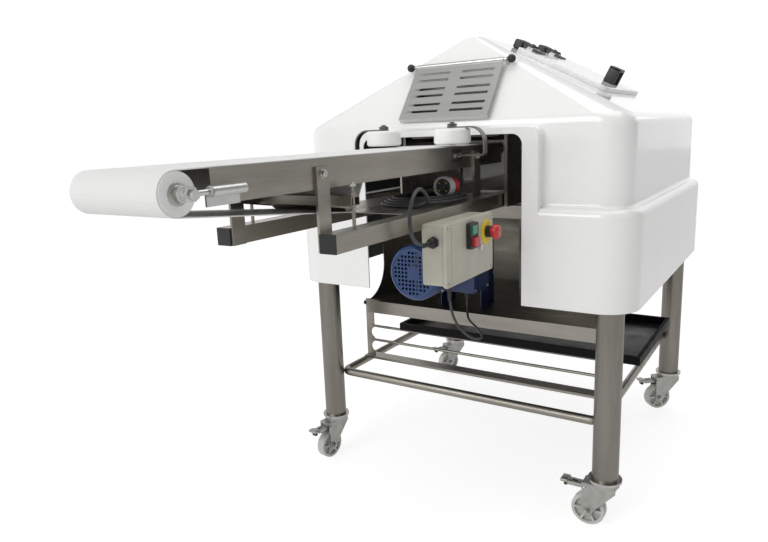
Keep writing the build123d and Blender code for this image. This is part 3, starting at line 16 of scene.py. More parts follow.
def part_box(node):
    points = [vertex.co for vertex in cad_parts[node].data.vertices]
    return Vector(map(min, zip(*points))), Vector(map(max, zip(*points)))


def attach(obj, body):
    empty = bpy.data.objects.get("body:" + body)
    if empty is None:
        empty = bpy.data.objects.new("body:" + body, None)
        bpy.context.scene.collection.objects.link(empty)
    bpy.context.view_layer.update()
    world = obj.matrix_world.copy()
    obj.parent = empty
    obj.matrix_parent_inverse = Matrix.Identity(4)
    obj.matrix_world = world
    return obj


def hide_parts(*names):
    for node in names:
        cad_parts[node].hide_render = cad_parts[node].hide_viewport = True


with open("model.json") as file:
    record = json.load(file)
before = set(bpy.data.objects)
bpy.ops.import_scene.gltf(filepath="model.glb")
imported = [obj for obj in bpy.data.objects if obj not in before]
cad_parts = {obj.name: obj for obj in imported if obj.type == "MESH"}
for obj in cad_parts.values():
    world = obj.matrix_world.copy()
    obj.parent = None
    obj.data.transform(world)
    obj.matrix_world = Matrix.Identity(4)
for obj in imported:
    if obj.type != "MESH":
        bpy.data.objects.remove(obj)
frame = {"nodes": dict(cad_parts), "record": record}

log = logging.getLogger("croissant_machine")
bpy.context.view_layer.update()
MM = 0.001
LEG_Y = 51.65
ROOT = "frame"
SIDES = (-1.0, 1.0)
UP = (0.0, 0.0, 1.0)
DOWN = (0.0, 0.0, -1.0)
RIGHT = (1.0, 0.0, 0.0)
LEFT = (-1.0, 0.0, 0.0)
FORWARD = (0.0, -1.0, 0.0)
WHITE = (1.0, 1.0, 1.0, 1.0)
QUARTER = math.pi / 2

SLOW_SHARE = 0.6
PATTERN_SPAN = (0.35, 0.65)
COLOUR_STOPS = (0.38, 0.62)
FINE_OCTAVES = 3.0
SLOW_OCTAVES = 2.0
MILDEST_STRETCH = 0.12
COAT_ROUGHNESS = 0.06
SOFT_DEPTH = (0.004, 0.004, 0.004)
WAVE_SCALE = math.tau / 20.0
WEAVE_SHARE = 1.0 / 8.0

Pair = tuple[float, float]
Triple = tuple[float, float, float]
Place = tuple[Triple, Triple]
Block = tuple[Triple, Triple, float]
Profile = Sequence[Pair]
Thing = bpy.types.Object
Socket = bpy.types.NodeSocket
Inputs = dict[str | int, float | tuple[float, ...] | Socket]


@dataclass
class Nodes:
    """Shader nodes of one material or of the world."""

    tree: bpy.types.NodeTree

    def feed(self, node: bpy.types.Node, inputs: Inputs) -> None:
        """Sets or links the inputs of a node.

        Args:
            node: The node.
            inputs: Value or socket for each input.
        """
        for name, value in inputs.items():
            if isinstance(value, Socket):
                self.tree.links.new(value, node.inputs[name])
            else:
                node.inputs[name].default_value = value

    def add(self, kind: str, inputs: Inputs) -> bpy.types.Node:
        """Adds a node.

        Args:
            kind: Kind of node, without the word that all kinds start with.
            inputs: Value or socket for each input.

        Returns:
            The node.
        """
        node = self.tree.nodes.new("ShaderNode" + kind)
        self.feed(node, inputs)
        return node

    def seen(self) -> Socket:
        """Gives 1 where the camera looks and 0 where light bounces."""
        return self.add("LightPath", {}).outputs["Is Camera Ray"]

    def combined(self, operation: str, first: Socket, second: Socket) -> Socket:
        """Works out one value from two.

        Args:
            operation: Name of the operation.
            first: First value.
            second: Second value.

        Returns:
            The result.
        """
        node = self.add("Math", {0: first, 1: second})
        node.operation = operation
        return node.outputs["Value"]

    def ranged(self, value: Socket, span: Pair, into: Pair) -> Socket:
        """Maps a value from one range to another.

        Args:
            value: Socket that gives the value.
            span: Range that it comes from.
            into: Range that it goes to.

        Returns:
            The mapped value.
        """
        ends: Inputs = {"From Min": span[0], "From Max": span[1], "To Min": into[0], "To Max": into[1]}
        return self.add("MapRange", {"Value": value, **ends}).outputs["Result"]

    def tint(self, value: Socket, colours: tuple[Triple, Triple]) -> Socket:
        """Turns a pattern into a colour between two colours.

        Args:
            value: Socket that gives the pattern.
            colours: The two colours, linear RGB.

        Returns:
            The colour.
        """
        scale = self.add("ValToRGB", {"Fac": value})
        for stop, position, colour in zip(scale.color_ramp.elements, COLOUR_STOPS, colours):
            stop.position = position
            stop.color = (*colour, 1.0)
        return scale.outputs["Color"]

    def noise(self, size: float, stretch: Triple, detail: float) -> Socket:
        """Adds a noise pattern on Object coordinates.

        Args:
            size: Size of its cells in millimetres.
            stretch: Share of the cells on each axis; a small share draws them out.
            detail: Octaves of the noise.

        Returns:
            The noise's value.
        """
        place = self.add("TexCoord", {}).outputs["Object"]
        drawn = self.add("Mapping", {"Vector": place, "Scale": stretch}).outputs["Vector"]
        cells: Inputs = {"Vector": drawn, "Scale": 1.0 / (size * MM), "Detail": detail}
        return self.add("TexNoise", cells).outputs["Fac"]

    def threads(self, pitch: float) -> Socket:
        """Adds the crossing threads of a woven face.

        Args:
            pitch: Distance between two threads in millimetres.

        Returns:
            The height of the weave.
        """
        place = self.add("TexCoord", {}).outputs["Object"]
        heights = []
        for direction in ("X", "Y"):
            thread = self.add("TexWave", {"Vector": place, "Scale": WAVE_SCALE / (pitch * MM)})
            thread.bands_direction = direction
            heights.append(thread.outputs["Fac"])
        return self.combined("MULTIPLY", *heights)

    def bump(self, height: Socket, depth: float, below: Socket | None = None) -> Socket:
        """Adds relief to a surface.

        Args:
            height: Pattern of the relief.
            depth: Depth of the relief in millimetres.
            below: Normal that the relief is laid on, if there is one.

        Returns:
            The new normal.
        """
        relief: Inputs = {"Height": height, "Distance": depth * MM}
        if below:
            relief["Normal"] = below
        return self.add("Bump", relief).outputs["Normal"]


class Grain(Enum):
    """How a surface pattern is stretched along the machine's axes."""

    EVEN = (1.0, 1.0, 1.0)
    ALONG_X = (0.02, 1.0, 1.0)
    ALONG_Y = (1.0, 0.02, 1.0)
    ALONG_Z = (1.0, 1.0, 0.02)

    def softened(self) -> Triple:
        """Gives a milder stretch for the slow streaks of the same surface."""
        return tuple(max(share, MILDEST_STRETCH) for share in self.value)


@dataclass(frozen=True)
class Finish:
    """One finish: two mottled colours, a roughness range, relief at two sizes and a clear coat.

    Attributes:
        name: The material's name.
        colour: Main colour, linear RGB.
        shade: Colour that is mottled in.
        rough: Lowest and highest roughness.
        metal: Metallic share, 0 or 1.
        pitch: Size of the fine pattern in millimetres.
        relief: Depth of the fine pattern in millimetres.
        smudge: Size of the slow changes over the surface, in millimetres.
        wave: Depth of the slow changes in millimetres.
        weave: Thread pitch of a woven face in millimetres, 0 for none.
        coat: Weight of a clear coat.
        gloss: Strength of the mirror-like part of the light, 0.5 for most surfaces.
        soft: Weight of light scattered below the surface.
        glow: Strength of the light that the surface shows to the camera.
        bounce: Strength of the light that it gives off to other surfaces.
        grain: Direction of the pattern.
    """

    name: str
    colour: Triple
    shade: Triple
    rough: Pair
    metal: float = 0.0
    pitch: float = 2.0
    relief: float = 0.02
    smudge: float = 120.0
    wave: float = 0.0
    weave: float = 0.0
    coat: float = 0.0
    gloss: float = 0.5
    soft: float = 0.0
    glow: float = 0.0
    bounce: float = 0.0
    grain: Grain = Grain.EVEN

    def material(self) -> bpy.types.Material:
        """Makes the node material, once.

        Returns:
            The material of this finish.
        """
        found = bpy.data.materials.get(self.name)
        if found:
            return found
        made = bpy.data.materials.new(self.name)
        made.use_nodes = True
        nodes = Nodes(made.node_tree)
        fine = nodes.noise(self.pitch, self.grain.value, FINE_OCTAVES)
        slow = nodes.noise(self.smudge, self.grain.softened(), SLOW_OCTAVES)
        blend = nodes.add("Mix", {"Factor": SLOW_SHARE, "A": fine, "B": slow}).outputs["Result"]
        normal = nodes.bump(fine, self.relief)
        if self.wave:
            normal = nodes.bump(slow, self.wave, normal)
        if self.weave:
            normal = nodes.bump(nodes.threads(self.weave), self.weave * WEAVE_SHARE, normal)
        inputs: Inputs = {
            "Base Color": nodes.tint(blend, (self.colour, self.shade)),
            "Roughness": nodes.ranged(blend, PATTERN_SPAN, self.rough),
            "Normal": normal,
            "Metallic": self.metal,
            "Specular IOR Level": self.gloss,
            "Coat Weight": self.coat,
            "Coat Roughness": COAT_ROUGHNESS,
            "Subsurface Weight": self.soft,
            "Subsurface Radius": SOFT_DEPTH,
        }
        if self.glow:
            inputs["Emission Color"] = WHITE
            inputs["Emission Strength"] = nodes.ranged(nodes.seen(), (0.0, 1.0), (self.bounce, self.glow))
        nodes.feed(nodes.tree.nodes["Principled BSDF"], inputs)
        return made


def brushed(name: str, grain: Grain, tone: float = 1.0) -> Finish:
    """Makes brushed stainless steel with its lines along one axis.

    Args:
        name: Name of the material.
        grain: Direction of the brushing.
        tone: Share of its usual lightness.

    Returns:
        The finish.
    """
    colour = (0.36 * tone, 0.340 * tone, 0.300 * tone)
    shade = (0.29 * tone, 0.273 * tone, 0.240 * tone)
    return Finish(name, colour, shade, (0.27, 0.42), metal=1.0, pitch=0.9, relief=0.006, smudge=40.0,
                  grain=grain)


GELCOAT = Finish("white_gelcoat", (0.86, 0.86, 0.85), (0.83, 0.83, 0.82), (0.12, 0.20), pitch=6.0,
                 relief=0.001, smudge=240.0, wave=0.9, coat=0.5)
HATCH_GREY = Finish("hatch_gelcoat", (0.74, 0.75, 0.75), (0.69, 0.70, 0.70), (0.16, 0.26), pitch=6.0,
                    relief=0.001, smudge=180.0, wave=0.3, coat=0.4)
# Near-black lining for the canopy's inner faces: painted shade where little light reaches inside.
SHADE_LINING = Finish("canopy_painted_shade", (0.030, 0.033, 0.031), (0.048, 0.051, 0.048), (0.55, 0.75), pitch=5.0,
                relief=0.25, smudge=60.0)
STEEL_X = brushed("stainless_along_x", Grain.ALONG_X)
STEEL_Y = brushed("stainless_along_y", Grain.ALONG_Y)
STEEL_Z = brushed("stainless_along_z", Grain.ALONG_Z, 0.74)
STRAP = brushed("strap_stainless", Grain.ALONG_Y, 0.5)
GUARD = Finish("satin_stainless", (0.64, 0.64, 0.63), (0.52, 0.52, 0.51), (0.24, 0.36), metal=1.0, pitch=0.9,
               relief=0.004, smudge=60.0, grain=Grain.ALONG_X)
ZINC = Finish("zinc_plating", (0.47, 0.47, 0.44), (0.39, 0.39, 0.365), (0.34, 0.48), metal=1.0, pitch=3.0,
              relief=0.012, smudge=22.0)
FASTENER = Finish("bolt_steel", (0.60, 0.59, 0.57), (0.44, 0.43, 0.42), (0.18, 0.30), metal=1.0, pitch=0.6,
                  relief=0.008, smudge=10.0)
ROD = Finish("polished_rod", (0.60, 0.60, 0.59), (0.48, 0.48, 0.47), (0.14, 0.24), metal=1.0, pitch=0.6,
             relief=0.004, smudge=40.0, grain=Grain.ALONG_X)
WHEEL = Finish("moulded_nylon", (0.55, 0.55, 0.52), (0.46, 0.46, 0.435), (0.38, 0.55), pitch=3.0, relief=0.04,
               smudge=30.0, soft=0.1)
NYLON = Finish("machined_nylon", (0.87, 0.87, 0.86), (0.82, 0.82, 0.81), (0.28, 0.40), pitch=0.9,
               relief=0.012, smudge=50.0, soft=0.12)
BLACK = Finish("moulded_black", (0.008, 0.008, 0.010), (0.016, 0.016, 0.018), (0.34, 0.50), pitch=0.7,
               relief=0.02, smudge=25.0)
TRAY = Finish("black_enamel", (0.010, 0.010, 0.011), (0.024, 0.023, 0.022), (0.24, 0.44), pitch=4.0,
              relief=0.02, smudge=70.0, wave=0.3)
# Darker, less glossy copy of the tray's black enamel for its walls and rim: painted shade.
TRAY_SHADE = Finish("tray_painted_shade", (0.004, 0.004, 0.0045), (0.007, 0.007, 0.0075), (0.46, 0.62), pitch=4.0,
                  relief=0.02, smudge=70.0, gloss=0.12)
BEIGE = Finish("beige_plastic", (0.50, 0.485, 0.405), (0.46, 0.445, 0.37), (0.38, 0.50), pitch=0.6,
               relief=0.02, smudge=60.0)
SEAL = Finish("seal_rubber", (0.020, 0.020, 0.020), (0.038, 0.038, 0.036), (0.60, 0.75), pitch=0.6,
              relief=0.02, smudge=20.0)
BLUE = Finish("blue_casting", (0.008, 0.030, 0.130), (0.005, 0.020, 0.090), (0.32, 0.46), pitch=1.4,
              relief=0.05, smudge=40.0, coat=0.2)
COWL = Finish("blue_pressing", (0.008, 0.046, 0.175), (0.006, 0.034, 0.130), (0.26, 0.38), pitch=2.5,
              relief=0.012, smudge=45.0, coat=0.3)
ROTOR = Finish("turned_rotor", (0.30, 0.30, 0.31), (0.20, 0.20, 0.21), (0.30, 0.45), metal=1.0, pitch=0.8,
               relief=0.01, smudge=30.0)
CHAIN = Finish("oiled_chain", (0.16, 0.15, 0.14), (0.09, 0.085, 0.08), (0.26, 0.42), metal=1.0, pitch=1.5,
               relief=0.015, smudge=14.0)
RED = Finish("red_plastic", (0.56, 0.030, 0.028), (0.46, 0.022, 0.022), (0.24, 0.36), pitch=0.7,
             relief=0.01, smudge=18.0, coat=0.2)
GREEN = Finish("green_plastic", (0.020, 0.30, 0.15), (0.016, 0.24, 0.12), (0.24, 0.36), pitch=0.7,
               relief=0.01, smudge=18.0, coat=0.2)
YELLOW = Finish("yellow_plastic", (0.82, 0.62, 0.020), (0.74, 0.54, 0.018), (0.30, 0.42), pitch=0.7,
                relief=0.01, smudge=22.0)
CHROME = Finish("chrome_plating", (0.70, 0.70, 0.71), (0.60, 0.60, 0.61), (0.08, 0.16), metal=1.0, pitch=0.8,
                relief=0.004, smudge=10.0)
CABLE = Finish("cable_rubber", (0.022, 0.024, 0.028), (0.050, 0.053, 0.058), (0.38, 0.56), pitch=0.8,
               relief=0.02, smudge=26.0)
PLUG_GREY = Finish("plug_grey", (0.50, 0.50, 0.485), (0.42, 0.42, 0.41), (0.34, 0.46), pitch=0.8,
                   relief=0.02, smudge=20.0)
BRASS = Finish("pin_brass", (0.62, 0.46, 0.20), (0.52, 0.38, 0.16), (0.22, 0.34), metal=1.0, pitch=0.8,
               relief=0.006, smudge=8.0)
BELT = Finish("woven_belt", (0.80, 0.80, 0.785), (0.77, 0.77, 0.75), (0.46, 0.58), pitch=0.8, relief=0.02,
              smudge=140.0, weave=1.6)
FLOOR = Finish("studio_floor", (0.42, 0.42, 0.42), (0.41, 0.41, 0.41), (0.75, 0.82), pitch=20.0,
               relief=0.005, smudge=900.0, glow=0.76, bounce=0.44)

SLOT_FINISH: dict[str, Finish] = {
    "shell_white": GELCOAT,
    "hatch_grey": HATCH_GREY,
    "stainless": STEEL_X,
    "bright_zinc": ZINC,
    "wheel_nylon": WHEEL,
    "white_nylon": NYLON,
    "belt_white": BELT,
    "black_plastic": BLACK,
    "rod_steel": ROD,
    "tray_black": TRAY,
    "box_beige": BEIGE,
    "motor_blue": BLUE,
    "cowl_blue": COWL,
    "rotor_steel": ROTOR,
    "chain_steel": CHAIN,
    "red": RED,
    "green": GREEN,
    "yellow": YELLOW,
    "key_chrome": CHROME,
    "cable_grey": CABLE,
    "plug_red": RED,
}
NODE_FINISH: dict[str, Finish] = {
    "legs": STEEL_Z,
    "conveyor_bed": STEEL_Y,
    "conveyor_frame": STEEL_Y,
    "roller_frame": STEEL_Z,
    "inlet_guard": GUARD,
    "belt_tensioners": GUARD,
    "disc_arms": STRAP,
}


@dataclass(frozen=True)
class Extent:
    """Lowest and highest corner of a CAD node, in millimetres."""

    low: Vector
    high: Vector

    @classmethod
    def of(cls, node: str) -> "Extent":
        """Reads a node's corners from the frame."""
        low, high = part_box(node)
        return cls(Vector(low) / MM, Vector(high) / MM)

    @property
    def middle(self) -> Vector:
        """Gives the point halfway between the corners."""
        return (self.low + self.high) / 2


class Bench:
    """Modelling steps, each done with Blender's own operators."""

    @staticmethod
    def clear() -> None:
        """Leaves edit mode and deselects everything."""
        if bpy.context.mode != "OBJECT":
            bpy.ops.object.mode_set(mode="OBJECT")
        bpy.ops.object.select_all(action="DESELECT")

    @staticmethod
    def pick(*objects: Thing) -> None:
        """Selects some objects and makes the first one active.

        Args:
            objects: Objects to select.
        """
        Bench.clear()
        for thing in objects:
            thing.select_set(True)
        bpy.context.view_layer.objects.active = objects[0]

    @staticmethod
    def apply() -> None:
        """Puts the place, turn and scale of the selected objects into their meshes."""
        bpy.ops.object.transform_apply(location=True, rotation=True, scale=True)

    @staticmethod
    def settle(thing: Thing, smooth: float = 30.0) -> None:
        """Applies an object's place, turn and scale and shades it smooth below an angle.

        Args:
            thing: Object to finish.
            smooth: Largest angle, in degrees, that is shaded as a curve.
        """
        Bench.pick(thing)
        Bench.apply()
        bpy.ops.object.shade_smooth_by_angle(angle=math.radians(smooth))

    @staticmethod
    def opened(name: str) -> Thing:
        """Names the primitive that was just added and selects all of it in edit mode.

        Args:
            name: Name of the piece.

        Returns:
            The piece.
        """
        piece = bpy.context.object
        piece.name = name
        Bench.apply()
        bpy.ops.object.mode_set(mode="EDIT")
        bpy.ops.mesh.select_all(action="SELECT")
        return piece

    @staticmethod
    def raised(rise: float, shares: Pair, top: float) -> None:
        """Extrudes the selected face up and scales it about the Z axis.

        Args:
            rise: Height of the step.
            shares: Scale along X and along Y.
            top: Height that the step ends at.
        """
        bpy.ops.mesh.extrude_region_move(TRANSFORM_OT_translate={"value": (0.0, 0.0, rise * MM)})
        bpy.ops.transform.resize(value=(*shares, 1.0), center_override=(0.0, 0.0, top * MM))

    @staticmethod
    def closed(piece: Thing, smooth: float = 30.0) -> Thing:
        """Turns a piece's faces outwards, leaves edit mode and finishes it.

        Args:
            piece: Piece in edit mode.
            smooth: Largest angle, in degrees, that is shaded as a curve.

        Returns:
            The same piece.
        """
        bpy.ops.mesh.select_all(action="SELECT")
        bpy.ops.mesh.normals_make_consistent(inside=False)
        bpy.ops.object.mode_set(mode="OBJECT")
        Bench.settle(piece, smooth)
        return piece

    @staticmethod
    def turned(name: str, profile: Profile, sides: int = 32) -> Thing:
        """Turns a piece about Z from its foot up, by extruding and scaling a disc.

        Args:
            name: Name of the piece.
            profile: Radius and height of each step, from the foot up.
            sides: Corners of the disc; six give a hexagon.

        Returns:
            The piece, with its axis on Z.
        """
        Bench.clear()
        radius, height = profile[0]
        bpy.ops.mesh.primitive_circle_add(vertices=sides, radius=radius * MM, fill_type="NGON",
                                          location=(0.0, 0.0, height * MM))
        piece = Bench.opened(name)
        for next_radius, next_height in profile[1:]:
            share = next_radius / radius
            Bench.raised(next_height - height, (share, share), next_height)
            radius, height = next_radius, next_height
        return Bench.closed(piece)

    @staticmethod
    def plate(name: str, size: Pair, corner: float, thick: float, edge: float, steps: int = 6) -> Thing:
        """Makes a flat plate with round corners, its foot on Z zero.

        Args:
            name: Name of the piece.
            size: Width along X and along Y.
            corner: Radius of its corners.
            thick: Thickness.
            edge: Width of the chamfer round the top, 0 for none.
            steps: Segments of each corner.

        Returns:
            The plate.
        """
        Bench.clear()
        bpy.ops.mesh.primitive_plane_add(size=1.0)
        bpy.context.object.scale = (size[0] * MM, size[1] * MM, 1.0)
        piece = Bench.opened(name)
        bpy.ops.mesh.bevel(offset=corner * MM, segments=steps, affect="VERTICES")
        Bench.raised(thick - edge, (1.0, 1.0), thick - edge)
        if edge:
            wide, deep = ((side - 2.0 * edge) / side for side in size)
            Bench.raised(edge, (wide, deep), thick)
        return Bench.closed(piece)

    @staticmethod
    def block(form: Block, origin: Triple, steps: int = 3) -> Thing:
        """Makes a block with rounded edges.

        Args:
            form: Its lowest and highest corner, from the origin, and the width of the rounding.
            origin: Point that the corners are given from.
            steps: Segments of the rounding.

        Returns:
            The block.
        """
        low, high, bevel = Vector(form[0]), Vector(form[1]), form[2]
        Bench.clear()
        bpy.ops.mesh.primitive_cube_add(size=1.0, location=(Vector(origin) + (low + high) / 2) * MM)
        bpy.context.object.scale = (high - low) * MM
        piece = Bench.opened("block")
        bpy.ops.mesh.bevel(offset=bevel * MM, segments=steps, affect="EDGES")
        return Bench.closed(piece, 40.0)

    @staticmethod
    def drawn(name: str, points: Profile, closed: bool) -> Thing:
        """Draws a flat line through points in the XY plane.

        Args:
            name: Name of the line.
            points: Points of the line.
            closed: Whether its end joins its start.

        Returns:
            The curve object.
        """
        curve = bpy.data.curves.new(name, "CURVE")
        curve.dimensions = "2D"
        line = curve.splines.new("POLY")
        line.points.add(len(points) - 1)
        for point, (x, y) in zip(line.points, points):
            point.co = (x * MM, y * MM, 0.0, 1.0)
        line.use_cyclic_u = closed
        drawing = bpy.data.objects.new(name, curve)
        bpy.context.collection.objects.link(drawing)
        return drawing

    @staticmethod
    def joined(name: str, *pieces: Thing) -> Thing:
        """Joins pieces into one mesh.

        Args:
            name: Name of the joined piece.
            pieces: Pieces to join.

        Returns:
            The joined piece.
        """
        Bench.pick(*pieces)
        if len(pieces) > 1:
            bpy.ops.object.join()
        whole = bpy.context.object
        whole.name = name
        whole.data.name = name
        return whole

    @staticmethod
    def placed(name: str, pattern: Thing, places: list[Matrix]) -> Thing:
        """Copies a pattern piece to each place, each with its own mesh, and joins the copies.

        Args:
            name: Name of the joined piece.
            pattern: Piece to copy.
            places: Place and turn of each copy, in metres.

        Returns:
            The joined piece.
        """
        copies = []
        for place in places:
            copy = pattern.copy()
            copy.data = pattern.data.copy()
            bpy.context.collection.objects.link(copy)
            copy.matrix_world = place
            copies.append(copy)
        Bench.pick(*copies)
        Bench.apply()
        return Bench.joined(name, *copies)

    @staticmethod
    def discard(*patterns: Thing) -> None:
        """Removes pattern pieces that have been copied."""
        for pattern in patterns:
            bpy.data.objects.remove(pattern)

    @staticmethod
    def spread(name: str, pattern: Thing, places: list[Place]) -> Thing:
        """Stands copies of a pattern piece on foot points, uses the pattern up and joins the copies.

        Args:
            name: Name of the joined piece.
            pattern: Piece with its foot at the origin and its axis on Z.
            places: Foot point in millimetres and axis of each copy.

        Returns:
            The joined piece.
        """
        turns = []
        for foot, axis in places:
            turn = Vector(UP).rotation_difference(Vector(axis)).to_matrix().to_4x4()
            turns.append(Matrix.Translation(Vector(foot) * MM) @ turn)
        whole = Bench.placed(name, pattern, turns)
        Bench.discard(pattern)
        return whole

    @staticmethod
    def dress(piece: Thing, finish: Finish, slot: str, body: str = ROOT) -> Thing:
        """Gives a piece its finish and the body that it rides on.

        Args:
            piece: Finished mesh or curve.
            finish: Surface finish.
            slot: Material slot of the record; not used.
            body: Body of the machine.

        Returns:
            The same piece.
        """
        piece.data.materials.clear()
        piece.data.materials.append(finish.material())
        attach(piece, body)
        log.info("%s rides on %s", piece.name, body)
        return piece

    @staticmethod
    def accent(node: str, finish: Finish, chosen: Callable[[bpy.types.MeshPolygon], bool]) -> None:
        """Gives some faces of a carried-over node a second finish.

        Args:
            node: Name of the node.
            finish: Second finish.
            chosen: Says whether a face takes it.
        """
        mesh = frame["nodes"][node].data
        mesh.materials.append(finish.material())
        for face in mesh.polygons:
            if chosen(face):
                face.material_index = 1
        log.info("%s has faces in %s", node, finish.name)


@dataclass
class Fastener:
    """Visible ends of bolts, screws, nuts and rivets; profiles are in thread sizes."""

    thread: float
    washer: Profile = ((1.05, 0.0), (1.05, 0.16), (1.0, 0.2))
    head: Profile = ((0.92, 0.19), (0.92, 0.72), (0.80, 0.84))
    screw: Profile = ((0.95, 0.0), (0.95, 0.3), (0.82, 0.48), (0.42, 0.52), (0.36, 0.24))
    hexagon: Profile = ((0.88, 0.0), (0.96, 0.08), (0.96, 0.62), (0.88, 0.70))
    tip: Profile = ((0.48, 0.60), (0.48, 0.92), (0.40, 1.0))
    dome: Profile = ((0.95, 0.0), (0.92, 0.2), (0.72, 0.42), (0.4, 0.54), (0.1, 0.58))

    def scaled(self, profile: Profile, sides: int) -> Thing:
        """Turns a shape whose profile is given in thread sizes."""
        return Bench.turned("fastener", [(r * self.thread, h * self.thread) for r, h in profile], sides)

    def hex_bolt(self) -> Thing:
        """Makes a chamfered hexagon head on a washer."""
        return Bench.joined("bolt", self.scaled(self.washer, 24), self.scaled(self.head, 6))

    def socket_screw(self) -> Thing:
        """Makes a low round screw head with a recess."""
        return self.scaled(self.screw, 20)

    def nut(self) -> Thing:
        """Makes a hexagon nut with the end of its thread."""
        return Bench.joined("nut", self.scaled(self.hexagon, 6), self.scaled(self.tip, 20))

    def rivet(self) -> Thing:
        """Makes a domed rivet head."""
        return self.scaled(self.dome, 18)


@dataclass
class Cords:
    """Mains lead with its coil and plug, and the motor lead."""

    mains_d: float = 9.0
    lead_d: float = 7.0
    gland: Triple = (198.0, LEG_Y - 492.0, 927.0)
    coil_x: float = 50.0
    coil_front: float = LEG_Y - 275.0
    coil_rear: float = LEG_Y - 195.0
    coil_r: float = 104.0
    coil_drops: tuple[float, ...] = (0.0, 6.0, 5.0, 7.0, 5.0, 8.0, 5.0)
    coil_lift: float = 2.4
    coil_z: float = 999.8
    coil_tail: float = 30.0
    coil_steps: int = 8
    plug: Triple = (81.0, LEG_Y - 118.0, 1033.6)
    plug_line: Profile = ((8.0, 0.0), (11.5, 1.0), (13.0, 4.0), (13.0, 14.0), (15.0, 16.0), (21.0, 18.0),
                          (23.0, 21.0), (23.0, 24.0), (24.0, 25.0), (24.0, 29.0), (22.8, 30.0), (22.8, 33.0),
                          (24.0, 34.0), (24.0, 38.0), (22.8, 39.0), (22.8, 42.0), (24.0, 43.0), (24.0, 58.4))
    ring_line: Profile = ((27.6, 57.8), (29.0, 59.4), (29.0, 82.0), (28.0, 84.0), (24.6, 84.0), (23.8, 83.0),
                          (23.8, 74.0), (23.0, 70.0))
    face_line: Profile = ((23.6, 68.0), (23.6, 72.4), (22.6, 73.2), (9.0, 73.2), (8.2, 75.0))
    pin_line: Profile = ((2.6, 0.0), (2.6, 8.0), (2.2, 9.6), (1.2, 10.2))
    pin_angles: tuple[float, ...] = (45.0, 135.0, 225.0, 315.0)
    pin_circle: float = 15.0
    pin_foot: float = 72.6
    lead_top: Triple = (195.0, LEG_Y - 390.0, 799.0)
    lead_end: Triple = (23.0, LEG_Y + 65.0, 657.0)
    mains_length: float = 2.985
    lead_length: float = 0.665

    def build(self) -> None:
        """Makes the plug and lays both cords."""
        plug = self.mains_plug()
        mains = self.spline("mains_lead", self.mains_route(), self.mains_d)
        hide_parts("mains_cable", "mains_coil", "plug_cable")
        Bench.dress(mains, CABLE, "cable_grey")
        lead = self.spline("motor_lead", self.motor_route(), self.lead_d)
        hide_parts("motor_cable")
        Bench.dress(lead, CABLE, "cable_grey")

    def mains_route(self) -> list[Triple]:
        """Lists the mains lead's points: out of the gland, over the tube, round the coil, to the plug.

        Returns:
            The control points of its line.
        """
        gx, gy, gz = self.gland
        cx, y0, y1, z = self.coil_x, self.coil_front, self.coil_rear, self.coil_z
        px, py, pz = self.plug
        turns = self.coil_turns()
        ex, _, ez = turns[-1]
        return [
            (gx, gy, gz),
            (gx, gy - 60, gz),
            (gx - 2, gy - 91, gz + 56),
            (gx - 8, gy - 64, gz + 114),
            (gx - 18, gy - 13, gz + 134),
            (gx - 33, gy + 42, gz + 118),
            (cx + 100, y0 - self.coil_r - 21, z + 15),
            (cx + 55, y0 - self.coil_r, z),
            *turns,
            (ex, y0 + self.coil_tail + 37, ez),
            (ex - 2, y1 + 29, ez + 4),
            (ex, y1 + 77, z + 24),
            (ex + 5, py + 40, pz - 8),
            (ex + 31, py + 71, pz - 5),
            (px - 29, py + 72, pz - 1),
            (px, py + 42, pz),
            (px, py, pz),
        ]

    def coil_turns(self) -> list[Triple]:
        """Works out the points of the loose coil, each half turn smaller and higher than the last.

        Returns:
            Control points that circumscribe each half turn.
        """
        half = math.pi / self.coil_steps
        centre, radius, z = self.coil_x, self.coil_r, self.coil_z
        points: list[Triple] = []
        for arc, drop in enumerate(self.coil_drops):
            front = arc % 2 == 0
            y = self.coil_front if front else self.coil_rear
            centre += drop if front else -drop
            radius -= drop
            z = self.coil_z + self.coil_lift * arc
            first = 1.5 * math.pi if arc == 0 else (0.0 if front else math.pi)
            count = self.coil_steps // 2 if arc == 0 else self.coil_steps
            wide = radius / math.cos(half / 2)
            for step in range(count):
                angle = first - (step + 0.5) * half
                points.append((centre + wide * math.cos(angle), y + wide * math.sin(angle), z))
        points.append((centre - radius, self.coil_front + self.coil_tail, z))
        return points

    def motor_route(self) -> list[Triple]:
        """Lists the motor lead's points, from the box down in a loop to the terminal box.

        Returns:
            The control points of its line.
        """
        tx, ty, tz = self.lead_top
        ex, ey, ez = self.lead_end
        return [
            (tx, ty, tz),
            (tx, ty, tz - 50),
            (tx + 10, ty + 18, tz - 105),
            (tx + 26, ty + 60, tz - 148),
            (tx + 30, ty + 115, tz - 168),
            (tx + 12, ty + 172, tz - 176),
            (tx - 30, ty + 235, tz - 182),
            (tx - 80, ey - 145, ez - 52),
            (ex + 50, ey - 80, ez - 66),
            (ex + 14, ey - 28, ez - 68),
            (ex, ey, ez - 40),
            (ex, ey, ez),
        ]

    @staticmethod
    def spline(name: str, points: list[Triple], diameter: float) -> Thing:
        """Makes a round cord on one smooth spline.

        Args:
            name: Name of the cord.
            points: Control points of its line.
            diameter: Thickness of the cord.

        Returns:
            The curve object.
        """
        curve = bpy.data.curves.new(name, "CURVE")
        curve.dimensions = "3D"
        curve.resolution_u = 8
        curve.bevel_depth = diameter * MM / 2
        curve.bevel_resolution = 4
        curve.use_fill_caps = True
        line = curve.splines.new("NURBS")
        line.points.add(len(points) - 1)
        for point, place in zip(line.points, points):
            point.co = (*(v * MM for v in place), 1.0)
        line.order_u = 3
        line.use_endpoint_u = True
        cord = bpy.data.objects.new(name, curve)
        bpy.context.collection.objects.link(cord)
        return cord

